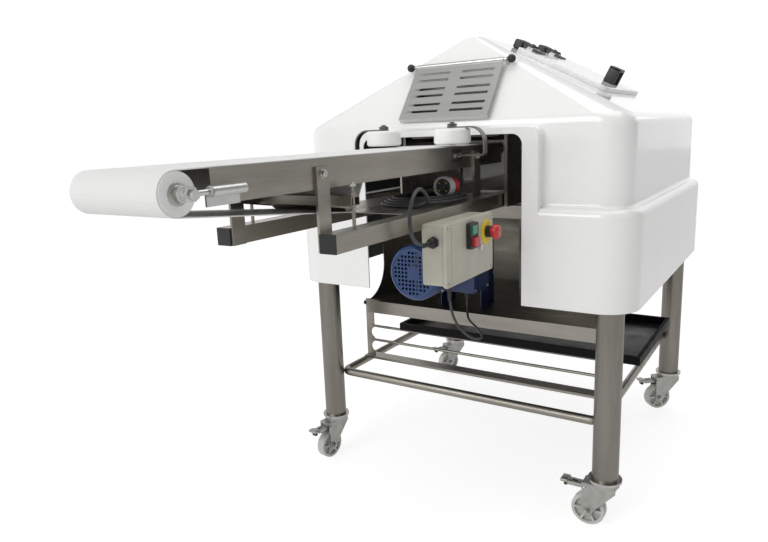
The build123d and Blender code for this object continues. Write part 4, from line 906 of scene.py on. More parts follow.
    def mains_plug(self) -> list[Thing]:
        """Makes the plug: red ribbed body, grey front ring with a dark face, and brass pins.

        Returns:
            The plug's pieces.
        """
        px, py, pz = self.plug
        foot = [(self.plug, FORWARD)]
        body = Bench.spread("plug_body", Bench.turned("body", self.plug_line, 40), foot)
        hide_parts("mains_plug")
        Bench.dress(body, RED, "plug_red")
        ring = Bench.spread("plug_ring", Bench.turned("ring", self.ring_line, 44), foot)
        face = Bench.spread("plug_face", Bench.turned("face", self.face_line, 40), foot)
        spots = []
        for angle in map(math.radians, self.pin_angles):
            x, z = self.pin_circle * math.cos(angle), self.pin_circle * math.sin(angle)
            spots.append(((px + x, py - self.pin_foot, pz + z), FORWARD))
        pins = Bench.spread("plug_pins", Bench.turned("pin", self.pin_line, 16), spots)
        Bench.dress(ring, PLUG_GREY, "cable_grey")
        Bench.dress(face, BLACK, "black_plastic")
        Bench.dress(pins, BRASS, "key_chrome")
        return [body, ring, face, pins]


@dataclass
class ControlBox:
    """Cover panel and screws, seal, emergency stop and cable glands of the control box."""

    strip: float = 26.0
    screw_in: float = 12.0
    screw_sunk: float = 0.4
    panel_margin: float = 7.0
    panel_sunk: float = 1.0
    panel_form: Triple = (3.0, 2.4, 0.9)
    seal_over: float = 3.0
    seal_back: float = 2.0
    seal_form: Triple = (9.0, 2.2, 0.4)
    collar_line: Profile = ((33.0, 0.0), (33.0, 2.6), (31.6, 4.0), (23.8, 4.0), (23.0, 3.2), (21.2, 3.2),
                            (20.4, 4.0), (16.2, 4.0))
    neck_line: Profile = ((16.0, 3.8), (16.0, 7.0), (15.0, 7.8), (15.0, 9.4), (15.8, 10.0), (15.8, 14.6),
                          (14.6, 16.0), (12.6, 16.0))
    crown_line: Profile = ((11.0, 10.0), (11.0, 20.5), (15.0, 22.5), (19.2, 24.1), (20.0, 25.9), (20.0, 31.0),
                           (19.0, 35.1), (16.6, 38.1), (12.6, 39.9), (7.0, 40.5), (2.0, 40.4))
    mains_gland: Triple = (198.0, LEG_Y - 472.0, 927.0)
    mains_bore: float = 4.8
    lead_gland: Triple = (195.0, LEG_Y - 390.0, 819.0)
    motor_gland: Triple = (23.0, LEG_Y + 65.0, 677.0)
    lead_bore: float = 3.8
    nut_line: Profile = ((15.0, 0.0), (15.0, 7.0), (13.8, 8.0))
    dome_line: Profile = ((11.8, 7.6), (11.8, 9.0), (12.0, 9.4), (12.0, 15.0), (10.6, 18.0), (8.2, 20.0))
    boot_line: Profile = ((2.2, 20.6), (1.9, 24.0), (1.5, 28.0), (1.1, 36.0), (0.5, 54.0))
    base: Extent = field(default_factory=lambda: Extent.of("control_box"))
    lid: Extent = field(default_factory=lambda: Extent.of("box_cover"))

    def build(self) -> None:
        """Makes the fittings and dresses them."""
        self.cover()
        self.emergency_stop()
        self.glands()

    def cover(self) -> None:
        """Makes the raised middle of the cover, its four screws and the dark seal behind it."""
        low, high, middle = self.lid.low, self.lid.high, self.lid.middle
        size = high - low
        tall, wide = size.z - self.panel_margin, size.y - 2.0 * self.strip
        panel = Bench.plate("panel", (tall, wide), *self.panel_form)
        panel = Bench.spread("cover_panel", panel, [((high.x - self.panel_sunk, middle.y, middle.z), RIGHT)])
        Bench.dress(panel, BEIGE, "box_beige")
        screws = [((high.x - self.screw_sunk, y, z), RIGHT)
                  for y in (low.y + self.screw_in, high.y - self.screw_in)
                  for z in (low.z + self.screw_in, high.z - self.screw_in)]
        Bench.dress(Bench.spread("cover_screws", Fastener(5.0).socket_screw(), screws), FASTENER, "stainless")
        size = self.base.high - self.base.low
        seal = Bench.plate("seal", (size.z + self.seal_over, size.y + self.seal_over), *self.seal_form)
        seal = Bench.spread("cover_seal", seal, [((low.x - self.seal_back, middle.y, middle.z), RIGHT)])
        Bench.dress(seal, SEAL, "black_plastic")

    def emergency_stop(self) -> None:
        """Makes the yellow collar, its black neck and the red mushroom button."""
        box = Extent.of("estop_collar")
        foot = [((box.low.x, box.middle.y, box.middle.z), RIGHT)]
        collar = Bench.spread("estop_plate", Bench.turned("collar", self.collar_line, 48), foot)
        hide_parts("estop_collar")
        Bench.dress(collar, YELLOW, "yellow")
        neck = Bench.spread("estop_neck", Bench.turned("neck", self.neck_line, 32), foot)
        Bench.dress(neck, BLACK, "black_plastic")
        mushroom = Bench.spread("estop_mushroom", Bench.turned("mushroom", self.crown_line, 40), foot)
        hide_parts("estop_button")
        Bench.dress(mushroom, RED, "red", "estop_button")

    def glands(self) -> None:
        """Makes the three ribbed cable glands with their tapered boots."""
        parts = []
        for foot, axis, bore in ((self.mains_gland, FORWARD, self.mains_bore),
                                 (self.lead_gland, DOWN, self.lead_bore),
                                 (self.motor_gland, DOWN, self.lead_bore)):
            boot = [(bore + wall, height) for wall, height in self.boot_line]
            nut = Bench.turned("nut", self.nut_line, 6)
            dome = Bench.turned("dome", [*self.dome_line, *boot], 24)
            parts.append(Bench.spread("gland", Bench.joined("gland_form", nut, dome), [(foot, axis)]))
        glands = Bench.joined("ribbed_glands", *parts)
        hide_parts("cable_glands")
        Bench.dress(glands, BLACK, "black_plastic")


@dataclass
class Conveyor:
    """Bolts, nuts and bearings of the conveyor and the guide discs."""

    upright_x: float = 126.0
    upright_y: Pair = (LEG_Y - 791.0, LEG_Y - 68.0)
    upright_bolt_z: float = 1113.0
    foot_x: float = 124.0
    foot_bolt_dy: float = 13.5
    foot_z: float = 1120.0
    disc_nut_down: float = 8.0
    tube_front: float = 50.0
    screw_x: float = 136.3
    bolt_x: float = 146.0
    bolt_y: float = LEG_Y - 720.0
    bolt_down: float = 6.0
    lock_line: Profile = ((8.4, 0.0), (9.6, 1.0), (9.6, 6.0), (8.6, 7.0), (5.4, 7.0))
    cap_line: Profile = ((19.0, 0.2), (19.0, 1.6), (17.6, 2.6), (14.6, 3.0), (13.5, 4.0), (13.5, 13.8),
                         (12.4, 14.8), (9.4, 14.9))
    cap_in: float = 15.0
    roller: Extent = field(default_factory=lambda: Extent.of("front_roller"))
    straps: Extent = field(default_factory=lambda: Extent.of("disc_arms"))

    def build(self) -> None:
        """Makes the bolts of the uprights and feet, the nuts of the discs and screws, and the bearings."""
        self.bolts()
        self.nuts()
        self.bearings()

    def bolts(self) -> None:
        """Makes the bolts that hold the uprights and the feet of the disc straps."""
        disc_y = self.straps.middle.y
        uprights, feet = [], []
        for side in SIDES:
            out = (side, 0.0, 0.0)
            uprights += [((side * self.upright_x, y, self.upright_bolt_z), out) for y in self.upright_y]
            feet += [((side * self.foot_x, disc_y + end * self.foot_bolt_dy, self.foot_z), out)
                     for end in SIDES]
        Bench.dress(Bench.spread("upright_bolts", Fastener(9.0).hex_bolt(), uprights), FASTENER, "stainless")
        Bench.dress(Bench.spread("disc_foot_bolts", Fastener(7.0).hex_bolt(), feet), FASTENER, "stainless")

    def nuts(self) -> None:
        """Makes the nuts of the discs, of the tension frame's bolts and of the belt tensioners."""
        top = self.straps.high.z - self.disc_nut_down
        discs = [((Extent.of(name).middle.x, self.straps.middle.y, top), UP)
                 for name in ("guide_disc_left", "guide_disc_right")]
        Bench.dress(Bench.spread("disc_nuts", Fastener(13.6).nut(), discs), CHAIN, "stainless")
        top = Extent.of("tension_frame").high.z - self.bolt_down
        stops = [((side * self.bolt_x, self.bolt_y, top), UP) for side in SIDES]
        stop_nuts = Bench.spread("tension_bolt_nuts", Fastener(8.0).nut(), stops)
        Bench.dress(stop_nuts, FASTENER, "stainless", "tension_frame")
        y, z = self.roller.middle.y + self.tube_front, self.roller.middle.z
        screws = [((side * self.screw_x, y, z), FORWARD) for side in SIDES]
        lock = Bench.turned("lock", self.lock_line, 6)
        Bench.dress(Bench.spread("tension_lock_nuts", lock, screws), FASTENER, "stainless")

    def bearings(self) -> None:
        """Makes the steel bearing caps on both ends of the front roller."""
        x, y, z = self.roller.high.x - self.cap_in, self.roller.middle.y, self.roller.middle.z
        places = [((side * x, y, z), (side, 0.0, 0.0)) for side in SIDES]
        caps = Bench.spread("roller_bearings", Bench.turned("cap", self.cap_line, 40), places)
        Bench.dress(caps, ZINC, "bright_zinc", "front_roller")


@dataclass
class Drive:
    """Chain links, motor fasteners, shaft bearings and the cowl's bead."""

    chain_x: float = -195.0
    low_axle: Pair = (LEG_Y + 285.0, 752.0)
    high_axle: Pair = (LEG_Y + 262.0, 1312.0)
    wrap: float = 49.0
    links: int = 112
    link_reach: Pair = (2.9, 3.8)
    link_tall: float = 6.6
    link_over: float = 6.4
    link_form: Triple = (3.2, 0.9, 0.0)
    link_roller: Profile = ((2.9, -2.4), (2.9, 2.4))
    plate_x: float = 180.0
    shafts: Profile = ((150.0, 1243.0), (150.0, 1330.0), (262.0, 1312.0), (50.0, 1203.0))
    bearing_line: Profile = ((21.0, 0.0), (21.0, 2.6), (18.0, 4.2), (13.0, 4.6), (12.0, 4.0), (11.6, 0.4))
    terminal_y: Pair = (LEG_Y + 10.0, LEG_Y + 120.0)
    terminal_z: Pair = (677.0, 767.0)
    inset: float = 9.0
    deep: float = 22.0
    rim_angles: tuple[float, ...] = (45.0, 135.0, 225.0, 315.0)
    bead_r: float = 77.5
    bead_w: float = 7.0
    bead_flat: float = 0.6
    bead_steps: tuple[int, int] = (72, 14)
    cowl: Extent = field(default_factory=lambda: Extent.of("fan_cowl"))

    def build(self) -> None:
        """Makes the chain, the bearings, the fasteners and the cowl's bead."""
        self.chain()
        self.bearings()
        self.fasteners()
        self.bead()

    def loop_point(self, share: float) -> Triple:
        """Finds a place on the chain's loop.

        Args:
            share: Way round the loop, from 0 to 1.

        Returns:
            The Y and Z of the place and its direction as an angle.
        """
        low, high = Vector(self.low_axle), Vector(self.high_axle)
        span = high - low
        run, lean = span.length, math.atan2(span.y, span.x)
        turn = math.pi * self.wrap
        way = share * 2.0 * (run + turn)
        along = Vector((math.cos(lean), math.sin(lean)))
        side = Vector((along.y, -along.x))
        if way < run:
            spot, heading = low + side * self.wrap + along * way, lean
        elif way < run + turn:
            angle = (way - run) / self.wrap
            spot = high + (side * math.cos(angle) + along * math.sin(angle)) * self.wrap
            heading = lean + angle
        elif way < 2.0 * run + turn:
            spot, heading = high - side * self.wrap - along * (way - run - turn), lean + math.pi
        else:
            angle = (way - 2.0 * run - turn) / self.wrap
            spot = low - (side * math.cos(angle) + along * math.sin(angle)) * self.wrap
            heading = lean + math.pi + angle
        return spot.x, spot.y, heading

    def link(self, pitch: float, reach: float) -> Thing:
        """Makes two side plates and the roller of one link, lying along Y.

        Args:
            pitch: Distance between two pins.
            reach: Distance of a side plate's middle from the chain's middle.

        Returns:
            The link, centred on the origin.
        """
        half_thick = self.link_form[1] / 2
        pieces = []
        for side in SIDES:
            plate = Bench.plate("side_plate", (self.link_tall, pitch + self.link_over), *self.link_form, 2)
            plate.location.x = (side * reach - half_thick) * MM
            pieces.append(plate)
        roller = Bench.turned("roller", self.link_roller, 10)
        roller.location.y = pitch * MM / 2
        pieces.append(roller)
        for piece in pieces:
            piece.rotation_euler.y = QUARTER
        Bench.pick(*pieces)
        Bench.apply()
        return Bench.joined("link", *pieces)

    def chain(self) -> None:
        """Lays inner and outer links round the two sprockets."""
        run = (Vector(self.high_axle) - Vector(self.low_axle)).length
        pitch = 2.0 * (run + math.pi * self.wrap) / self.links
        rows = []
        for first, reach in enumerate(self.link_reach):
            places = []
            for step in range(first, self.links, 2):
                y, z, heading = self.loop_point((step + 0.5) / self.links)
                place = Matrix.Translation(Vector((self.chain_x, y, z)) * MM)
                places.append(place @ Matrix.Rotation(heading, 4, "X"))
            pattern = self.link(pitch, reach)
            rows.append(Bench.placed("links", pattern, places))
            Bench.discard(pattern)
        chain = Bench.joined("roller_chain", *rows)
        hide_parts("drive_chain")
        Bench.dress(chain, CHAIN, "chain_steel")

    def bearings(self) -> None:
        """Makes a flanged bearing ring round each shaft on both side plates."""
        places = [((side * self.plate_x, LEG_Y + y, z), (side, 0.0, 0.0))
                  for side in SIDES for y, z in self.shafts]
        rings = Bench.spread("shaft_bearings", Bench.turned("ring", self.bearing_line), places)
        Bench.dress(rings, BLACK, "black_plastic")

    def fasteners(self) -> None:
        """Makes the terminal lid screws, the gearbox bolts and the bolts round the fan cowl."""
        inset, deep = self.inset, self.deep
        face = Extent.of("motor_body").high.x
        lid = [((face, y, z), RIGHT)
               for y in (self.terminal_y[0] + inset, self.terminal_y[1] - inset)
               for z in (self.terminal_z[0] + inset, self.terminal_z[1] - inset)]
        Bench.dress(Bench.spread("terminal_screws", Fastener(5.0).socket_screw(), lid), FASTENER, "stainless")
        gear = Extent.of("gearbox")
        corners = [((x, y, z), out)
                   for x, out in ((gear.low.x, LEFT), (gear.high.x, RIGHT))
                   for y in (gear.low.y + deep, gear.high.y - deep)
                   for z in (gear.low.z + deep, gear.high.z - deep)]
        Bench.dress(Bench.spread("gearbox_bolts", Fastener(8.0).hex_bolt(), corners), FASTENER, "stainless")
        middle, radius = self.cowl.middle, (self.cowl.high.z - self.cowl.low.z) / 2
        rim = []
        for angle in map(math.radians, self.rim_angles):
            x, z = math.cos(angle), math.sin(angle)
            foot = (middle.x + radius * x, self.cowl.high.y - inset, middle.z + radius * z)
            rim.append((foot, (x, 0.0, z)))
        Bench.dress(Bench.spread("cowl_bolts", Fastener(6.0).hex_bolt(), rim), FASTENER, "stainless")

    def bead(self) -> None:
        """Makes the rolled bead round the cowl's grille."""
        around, across = self.bead_steps
        Bench.clear()
        bpy.ops.mesh.primitive_torus_add(major_segments=around, minor_segments=across,
                                         major_radius=self.bead_r * MM, minor_radius=self.bead_w / 2 * MM)
        bead = bpy.context.object
        bead.name = "cowl_bead"
        bead.scale.z = self.bead_flat
        bead.rotation_euler.x = QUARTER
        bead.location = Vector((self.cowl.middle.x, self.cowl.low.y, self.cowl.middle.z)) * MM
        Bench.settle(bead)
        Bench.dress(bead, COWL, "cowl_blue")


@dataclass
class Shell:
    """Painted shade inside the canopy, coves of the canopy, hatch hinges and handle, and knobs of the inlet
    guard.

    The blocks of a hinge are given from its pin, those of the handle from its foot, on the roof slope:
    X to the rear, Y up the slope, Z off it. A knuckle is its middle on X, its radius and half its length.
    """

    ridge: Triple = (25.0, LEG_Y + 477.0, 1475.0)
    slope_run: float = 520.0
    slope_rise: float = 267.0
    shade_step: float = 1.0
    shade_wall: float = 30.0
    shade_far: float = 3000.0
    hinge_dy: float = 110.0
    pin: Triple = (0.0, -94.0, 22.3)
    hinge_body: Block = ((-36.0, 9.4, -22.1), (36.0, 44.0, 8.0), 7.0)
    hinge_bridge: Block = ((-22.0, 0.0, -3.0), (22.0, 16.0, 7.4), 2.5)
    hinge_leaf: Block = ((-36.0, -50.0, -8.4), (36.0, -14.0, -3.4), 1.8)
    left_neck: Block = ((-36.4, -24.0, -9.0), (-22.4, 0.0, 6.0), 1.6)
    right_neck: Block = ((22.4, -24.0, -9.0), (36.4, 0.0, 6.0), 1.6)
    middle_knuckle: Triple = (0.0, 7.6, 22.0)
    left_knuckle: Triple = (-30.0, 9.0, 7.8)
    right_knuckle: Triple = (30.0, 9.0, 7.8)
    knuckle_edge: float = 1.2
    handle_foot: Triple = (0.0, -366.0, 14.3)
    grip: Block = ((-32.0, -19.0, 41.0), (32.0, 19.0, 52.0), 4.0)
    left_post: Block = ((-32.0, -19.0, -0.4), (-21.0, 19.0, 52.0), 3.0)
    right_post: Block = ((21.0, -19.0, -0.4), (32.0, 19.0, 52.0), 3.0)
    pane_foot: Pair = (13.65, 1208.0)
    pane_run: float = 208.0
    pane_rise: float = 267.0
    guard_hinge: float = 213.0
    guard_lift: float = 20.0
    knob_x: float = 172.0
    knob_r: float = 12.6
    knob_neck: Pair = (6.4, -13.8)
    knob_steps: int = 12
    block_half: Pair = (545.0, 538.0)
    block_y: float = LEG_Y + 500.0
    block_r: float = 80.0
    ledge_z: float = 965.0
    portal_half: float = 312.0
    portal_top: float = 1190.0
    portal_r: float = 30.0
    cove_r: float = 12.0
    cove_sunk: float = 0.8
    cove_lap: float = 2.5
    cove_steps: int = 8
    arc_steps: int = 10

    def build(self) -> None:
        """Paints shade inside the canopy and makes its fittings."""
        self.shade_inside()
        self.coves()
        self.hinges()
        self.handle()
        self.knobs()

    def slope(self) -> Matrix:
        """Works out the place of the right roof slope: X to the rear, Y up the slope, Z off it.

        Returns:
            The place, in metres.
        """
        normal = Vector((self.slope_rise, 0.0, self.slope_run)).normalized()
        rear = Vector((0.0, 1.0, 0.0))
        turn = Matrix((rear, normal.cross(rear), normal)).transposed().to_4x4()
        return Matrix.Translation(Vector(self.ridge) * MM) @ turn

    def shade_inside(self) -> None:
        """Paints shade on the inner faces of the canopy's wall: a rough, near-black lining."""
        canopy = frame["nodes"]["canopy"]
        # Inner faces found here take the painted shade.
        step, wall, far = self.shade_step * MM, self.shade_wall * MM, self.shade_far * MM

        def inside(face: bpy.types.MeshPolygon) -> bool:
            """Says whether a face looks at another part of the canopy and has its wall behind it.

            Args:
                face: Face of the canopy.

            Returns:
                Whether it is an inner face.
            """
            facing = canopy.ray_cast(face.center + face.normal * step, face.normal, distance=far)[0]
            backed = canopy.ray_cast(face.center - face.normal * step, -face.normal, distance=wall)[0]
            return facing and backed

        Bench.accent("canopy", SHADE_LINING, inside)

    def arc(self, centre: Pair, radius: float, quarter: int) -> list[Pair]:
        """Lists the points of a quarter circle, anticlockwise.

        Args:
            centre: Centre of the circle.
            radius: Its radius.
            quarter: Quarter turns before the first point, from the first axis.

        Returns:
            The points.
        """
        angles = [0.5 * math.pi * (quarter + step / self.arc_steps) for step in range(self.arc_steps + 1)]
        return [(centre[0] + radius * math.cos(a), centre[1] + radius * math.sin(a)) for a in angles]

    def coves(self) -> None:
        """Makes the hollow rounds along the ledge and round the portal."""
        half_x, half_y, r = *self.block_half, self.block_r
        corners = ((1, -1, 3), (1, 1, 0), (-1, 1, 1), (-1, -1, 2))
        start = self.portal_half - self.cove_lap
        ledge = [(start, -half_y)]
        for along, across, quarter in corners:
            ledge += self.arc((along * (half_x - r), across * (half_y - r)), r, quarter)
        ledge.append((-start, -half_y))
        level = Matrix.Translation(Vector((0.0, self.block_y, self.ledge_z)) * MM)
        side, top, r = self.portal_half, self.portal_top, self.portal_r
        portal = [(side, self.ledge_z), *self.arc((side - r, top - r), r, 0),
                  *self.arc((r - side, top - r), r, 1), (-side, self.ledge_z)]
        front = Matrix.Translation((0.0, (self.block_y - half_y) * MM, 0.0))
        front = front @ Matrix.Rotation(QUARTER, 4, "X")
        pieces = [self.cove("ledge_cove", ledge, level), self.cove("portal_cove", portal, front)]
        Bench.dress(Bench.joined("canopy_coves", *pieces), GELCOAT, "shell_white")

    def cove(self, name: str, foot: Profile, place: Matrix) -> Thing:
        """Sweeps the hollow round that blends a wall into the face that it stands on.

        Args:
            name: Name of the piece.
            foot: Foot of the wall on that face, with the wall on its left.
            place: Place of that face, in metres.

        Returns:
            The piece.
        """
        r, sunk, steps = self.cove_r, self.cove_sunk, self.cove_steps
        turns = [0.5 * math.pi * step / steps for step in range(steps + 1)]
        hollow = [(r - r * math.sin(turn), r - r * math.cos(turn)) for turn in turns]
        shape = Bench.drawn("cove_shape", [(-sunk, -sunk), (r, -sunk), *hollow, (-sunk, r)], True)
        piece = Bench.drawn(name, foot, False)
        piece.data.bevel_mode = "OBJECT"
        piece.data.bevel_object = shape
        piece.data.use_fill_caps = True
        Bench.pick(piece)
        bpy.ops.object.convert(target="MESH")
        Bench.discard(shape)
        piece = bpy.context.object
        piece.matrix_world = place
        Bench.settle(piece)
        return piece

    def sleeve(self, knuckle: Triple) -> Thing:
        """Makes a round knuckle on the hinge pin, lying along X.

        Args:
            knuckle: Its middle on X, its radius and half its length.

        Returns:
            The knuckle.
        """
        x, radius, half = knuckle
        edge = self.knuckle_edge
        line = [(radius - edge, -half), (radius, edge - half), (radius, half - edge), (radius - edge, half)]
        sleeve = Bench.turned("sleeve", line, 28)
        spot = Matrix.Translation((Vector(self.pin) + Vector((x, 0.0, 0.0))) * MM)
        sleeve.matrix_world = spot @ Matrix.Rotation(QUARTER, 4, "Y")
        Bench.settle(sleeve)
        return sleeve

    def hinges(self) -> None:
        """Makes the black hinge bodies on the roof and their leaves on the hatch."""
        pin = self.pin
        fixed = Bench.joined("hinge_form", Bench.block(self.hinge_body, pin, 5),
                             Bench.block(self.hinge_bridge, pin), self.sleeve(self.middle_knuckle))
        leaf = Bench.joined("leaf_form", Bench.block(self.hinge_leaf, pin),
                            self.sleeve(self.left_knuckle), Bench.block(self.left_neck, pin),
                            self.sleeve(self.right_knuckle), Bench.block(self.right_neck, pin))
        places = [self.slope() @ Matrix.Translation((side * self.hinge_dy * MM, 0.0, 0.0)) for side in SIDES]
        bodies = Bench.placed("hinge_bodies", fixed, places)
        leaves = Bench.placed("hinge_leaves", leaf, places)
        Bench.discard(fixed, leaf)
        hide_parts("hatch_hinges")
        Bench.dress(bodies, BLACK, "black_plastic")
        Bench.dress(leaves, BLACK, "black_plastic", "roof_hatch")

    def handle(self) -> None:
        """Makes the wide black pull on the hatch."""
        foot = self.handle_foot
        pattern = Bench.joined("pull_form", Bench.block(self.grip, foot, 4),
                               Bench.block(self.left_post, foot), Bench.block(self.right_post, foot))
        pull = Bench.placed("hatch_pull", pattern, [self.slope()])
        Bench.discard(pattern)
        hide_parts("hatch_handle")
        Bench.dress(pull, BLACK, "black_plastic", "roof_hatch")

    def knobs(self) -> None:
        """Makes the black ball knobs at the ends of the guard's hinge rod."""
        length = math.hypot(self.pane_run, self.pane_rise)
        y = self.pane_foot[0] + (self.guard_hinge * self.pane_run - self.guard_lift * self.pane_rise) / length
        z = self.pane_foot[1] + (self.guard_hinge * self.pane_rise + self.guard_lift * self.pane_run) / length
        turns = [math.pi * step / self.knob_steps for step in range(1, self.knob_steps)]
        ball = [(self.knob_r * math.sin(turn), -self.knob_r * math.cos(turn)) for turn in turns]
        knob = Bench.turned("knob", [self.knob_neck, *ball], 28)
        places = [((side * self.knob_x, y, z), (side, 0.0, 0.0)) for side in SIDES]
        Bench.dress(Bench.spread("guard_knobs", knob, places), BLACK, "black_plastic")


@dataclass
class Stand:
    """Foot rings of the legs, painted shade on the tray's walls and rim, gearbox pedestal, caster fittings
    and plugs of the rack.

    The blocks of a brake lever are given from its pivot.
    """

    leg_x: float = 500.0
    pitch_y: float = 1000.0
    trail: float = 45.0
    wheel_z: float = 50.0
    cheek_y: float = 25.0
    head_t: float = 5.0
    pivot: Triple = (54.0, 0.0, 123.4)
    knuckle_line: Profile = ((7.0, -15.0), (8.0, -14.0), (8.0, 14.0), (7.0, 15.0))
    deck: Block = ((0.0, -15.0, 0.6), (60.0, 15.0, 4.2), 1.4)
    tongue: Block = ((52.0, -19.0, -1.0), (76.0, 19.0, 8.0), 2.6)
    left_fold: Block = ((4.0, -15.0, -8.0), (56.0, -12.2, 3.4), 1.2)
    right_fold: Block = ((4.0, 12.2, -8.0), (56.0, 15.0, 3.4), 1.2)
    pad: Block = ((56.0, -10.0, -15.0), (67.0, 10.0, 1.6), 2.4)
    button: Block = ((26.0, -4.0, 2.0), (44.0, 4.0, 5.4), 1.2)
    ring_top: float = 161.0
    tray_deep: float = 6.0
    level: float = 0.5
    pan_lip: float = 47.0
    margin: float = 1.0
    rack_x: float = -471.8
    rack_y: Pair = (LEG_Y + 190.0, LEG_Y + 640.0)
    rack_plug_z: float = 546.0
    plug_line: Profile = ((8.0, -0.4), (8.0, 5.0), (7.0, 7.0), (4.0, 7.6))
    angles: dict[str, float] = field(
        default_factory=lambda: {"fr": 180.0, "fl": 263.0, "rr": 219.0, "rl": 240.0})

    def build(self) -> None:
        """Gives the stand its second finishes, with painted shade on the tray, and makes the caster fittings
        and the rack plugs.
        """
        self.foot_rings()
        self.shade_tray_walls()
        self.pedestal()
        self.casters()
        spots = [((self.rack_x, y, self.rack_plug_z), LEFT) for y in self.rack_y]
        plugs = Bench.spread("rack_plugs", Bench.turned("plug", self.plug_line, 24), spots)
        Bench.dress(plugs, BLACK, "black_plastic")

    def casters(self) -> None:
        """Makes the lever, stop and rivets once and puts a copy on each caster."""
        pedal, stop, rivets = self.pedal(), self.stop(), self.rivets()
        for tag, angle in self.angles.items():
            x = self.leg_x if tag[1] == "r" else -self.leg_x
            y = LEG_Y + (0.0 if tag[0] == "f" else self.pitch_y)
            place = [Matrix.Translation((x * MM, y * MM, 0.0)) @ Matrix.Rotation(math.radians(angle), 4, "Z")]
            body = f"caster_pedal_{tag}"
            lever = Bench.placed(f"brake_lever_{tag}", pedal, place)
            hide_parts(body)
            Bench.dress(lever, ZINC, "bright_zinc", body)
            Bench.dress(Bench.placed(f"brake_stop_{tag}", stop, place), BLACK, "black_plastic", body)
            heads = Bench.placed(f"fork_rivets_{tag}", rivets, place)
            Bench.dress(heads, FASTENER, "bright_zinc", f"caster_fork_{tag}")
        Bench.discard(pedal, stop, rivets)

    def foot_rings(self) -> None:
        """Gives the flanged rings at the feet of the legs a bright finish."""
        Bench.accent("legs", FASTENER, lambda face: face.center.z < self.ring_top * MM)

    def shade_tray_walls(self) -> None:
        """Paints shade on the tray's walls and rim: a darker, less glossy black than its floor."""
        floor = (Extent.of("baking_tray").low.z + self.tray_deep) * MM
        # Walls and rim of the tray take the painted shade.
        Bench.accent("baking_tray", TRAY_SHADE,
                     lambda face: face.normal.z < self.level or face.center.z > floor)

    def pedestal(self) -> None:
        """Paints the pan's gearbox pedestal like the gearbox."""
        gear, room = Extent.of("gearbox"), self.margin
        foot = Extent.of("drip_pan").low.z + self.pan_lip
        low = Vector((gear.low.x - room, gear.low.y - room, foot + room)) * MM
        high = Vector((gear.high.x + room, gear.high.y + room, gear.low.z + room)) * MM
        Bench.accent("drip_pan", BLUE, lambda face: all(a < c < b for a, c, b in zip(low, face.center, high)))

    def pedal(self) -> Thing:
        """Makes the pressed brake lever with its folded sides and raised tongue, trail along X.

        Returns:
            The lever.
        """
        knuckle = Bench.turned("knuckle", self.knuckle_line, 24)
        knuckle.matrix_world = Matrix.Translation(Vector(self.pivot) * MM) @ Matrix.Rotation(QUARTER, 4, "X")
        Bench.settle(knuckle)
        others = [Bench.block(form, self.pivot) for form in (self.tongue, self.left_fold, self.right_fold)]
        return Bench.joined("pedal_form", Bench.block(self.deck, self.pivot), knuckle, *others)

    def stop(self) -> Thing:
        """Makes the black rubber pad under the lever and the dark button in its slot."""
        return Bench.joined("stop_form", *(Bench.block(form, self.pivot) for form in (self.pad, self.button)))

    def rivets(self) -> Thing:
        """Makes the axle nuts and the pivot rivets of one fork, trail along X.

        Returns:
            The joined heads.
        """
        nuts, heads = [], []
        for side in SIDES:
            out = (0.0, side, 0.0)
            nuts.append(((self.trail, side * (self.cheek_y + self.head_t), self.wheel_z), out))
            heads.append(((self.pivot[0], side * self.cheek_y, self.pivot[2]), out))
        return Bench.joined("rivet_form", Bench.spread("axle_nuts", Fastener(8.0).nut(), nuts),
                            Bench.spread("heads", Fastener(6.0).rivet(), heads))


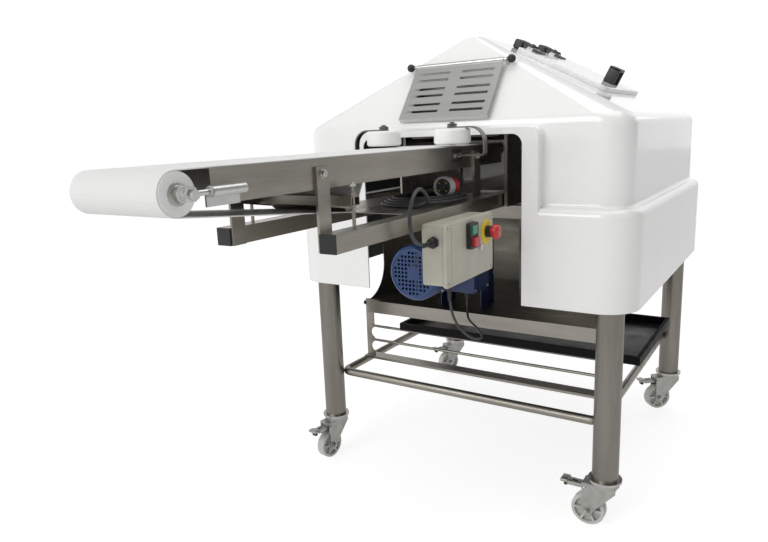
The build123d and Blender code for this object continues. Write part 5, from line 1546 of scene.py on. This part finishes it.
@dataclass
class Studio:
    """Camera at the photo's angle, pale floor and soft light.

    The soft boxes are place and side in metres and power in watts.
    """

    place: Triple = (944.8, -1776.4, 1189.0)
    yaw: float = 33.34
    pitch: float = 11.95
    roll: float = -2.27
    focal_px: float = 654.0
    image_px: float = 768.0
    sensor: float = 36.0
    far: float = 100.0
    floor_half: float = 30.0
    zenith: float = 0.52
    haze: Pair = (0.2, 0.4)
    dim_side: Pair = (0.02, 0.6)
    dim_share: float = 0.35
    wall_light: float = 1.1
    aim: Triple = (0.0, 0.0, 0.9)
    boxes: tuple[tuple[str, Triple, float, float], ...] = (
        ("key_box", (-2.0, -7.0, 5.0), 4.5, 230.0),
        ("side_box", (3.6, -1.2, 2.4), 2.4, 5.0),
        ("top_box", (0.6, 0.4, 3.8), 2.6, 36.0),
        ("rear_box", (1.8, 3.6, 2.8), 2.2, 10.0),
    )

    def camera(self) -> None:
        """Sets the camera at the photo's place, turn and focal length."""
        lens = bpy.data.cameras.new("photo_camera")
        lens.sensor_width = self.sensor
        lens.lens = self.focal_px / self.image_px * self.sensor
        lens.clip_end = self.far
        eye = bpy.data.objects.new("photo_camera", lens)
        bpy.context.collection.objects.link(eye)
        turn = Matrix.Rotation(math.radians(self.yaw), 4, "Z")
        turn = turn @ Matrix.Rotation(math.radians(90.0 - self.pitch), 4, "X")
        turn = turn @ Matrix.Rotation(math.radians(self.roll), 4, "Z")
        eye.matrix_world = Matrix.Translation(Vector(self.place) * MM) @ turn
        bpy.context.scene.camera = eye

    def floor(self) -> None:
        """Lays a wide pale floor."""
        Bench.clear()
        bpy.ops.mesh.primitive_plane_add(size=2.0 * self.floor_half)
        ground = bpy.context.object
        ground.name = "studio_floor"
        ground.data.materials.append(FLOOR.material())

    def surroundings(self) -> bpy.types.World:
        """Makes white walls whose light is weaker from overhead and from the right.

        Returns:
            The world.
        """
        world = bpy.data.worlds.new("studio")
        world.use_nodes = True
        nodes = Nodes(world.node_tree)
        way = nodes.add("TexCoord", {}).outputs["Generated"]
        parts = nodes.add("SeparateXYZ", {"Vector": way}).outputs
        overhead = nodes.ranged(parts["Z"], self.haze, (self.wall_light, self.wall_light * self.zenith))
        sideways = nodes.ranged(parts["X"], self.dim_side, (1.0, self.dim_share))
        light = nodes.combined("MULTIPLY", overhead, sideways)
        strength = nodes.combined("MAXIMUM", light, nodes.seen())
        nodes.feed(nodes.tree.nodes["Background"], {"Color": WHITE, "Strength": strength})
        return world

    def lights(self) -> None:
        """Hangs soft boxes round the machine and sets the surroundings."""
        scene = bpy.context.scene
        scene.view_settings.view_transform = "Standard"
        scene.world = self.surroundings()
        for name, place, size, power in self.boxes:
            lamp = bpy.data.lights.new(name, "AREA")
            lamp.shape = "SQUARE"
            lamp.size = size
            lamp.energy = power
            box = bpy.data.objects.new(name, lamp)
            bpy.context.collection.objects.link(box)
            box.location = place
            box.rotation_euler = (Vector(self.aim) - Vector(place)).to_track_quat("-Z", "Y").to_euler()


def dress_nodes() -> None:
    """Gives every carried-over node the finish of its slot, with its own brushing where it has one."""
    slots = {row["node"]: row["material_slot"] for row in frame["record"]["subparts"]}
    for name, node in frame["nodes"].items():
        finish = NODE_FINISH.get(name, SLOT_FINISH[slots[name]])
        node.data.materials.clear()
        node.data.materials.append(finish.material())
    log.info("%d nodes dressed", len(slots))


def main() -> None:
    """Builds the scene: camera and cords first, then finishes, fittings and light."""
    logging.basicConfig(level=logging.INFO, format="%(message)s")
    studio = Studio()
    studio.camera()
    dress_nodes()
    for assembly in (Cords(), ControlBox(), Conveyor(), Drive(), Shell(), Stand()):
        assembly.build()
    studio.floor()
    studio.lights()
    Bench.clear()


if __name__ == "__main__":
    main()
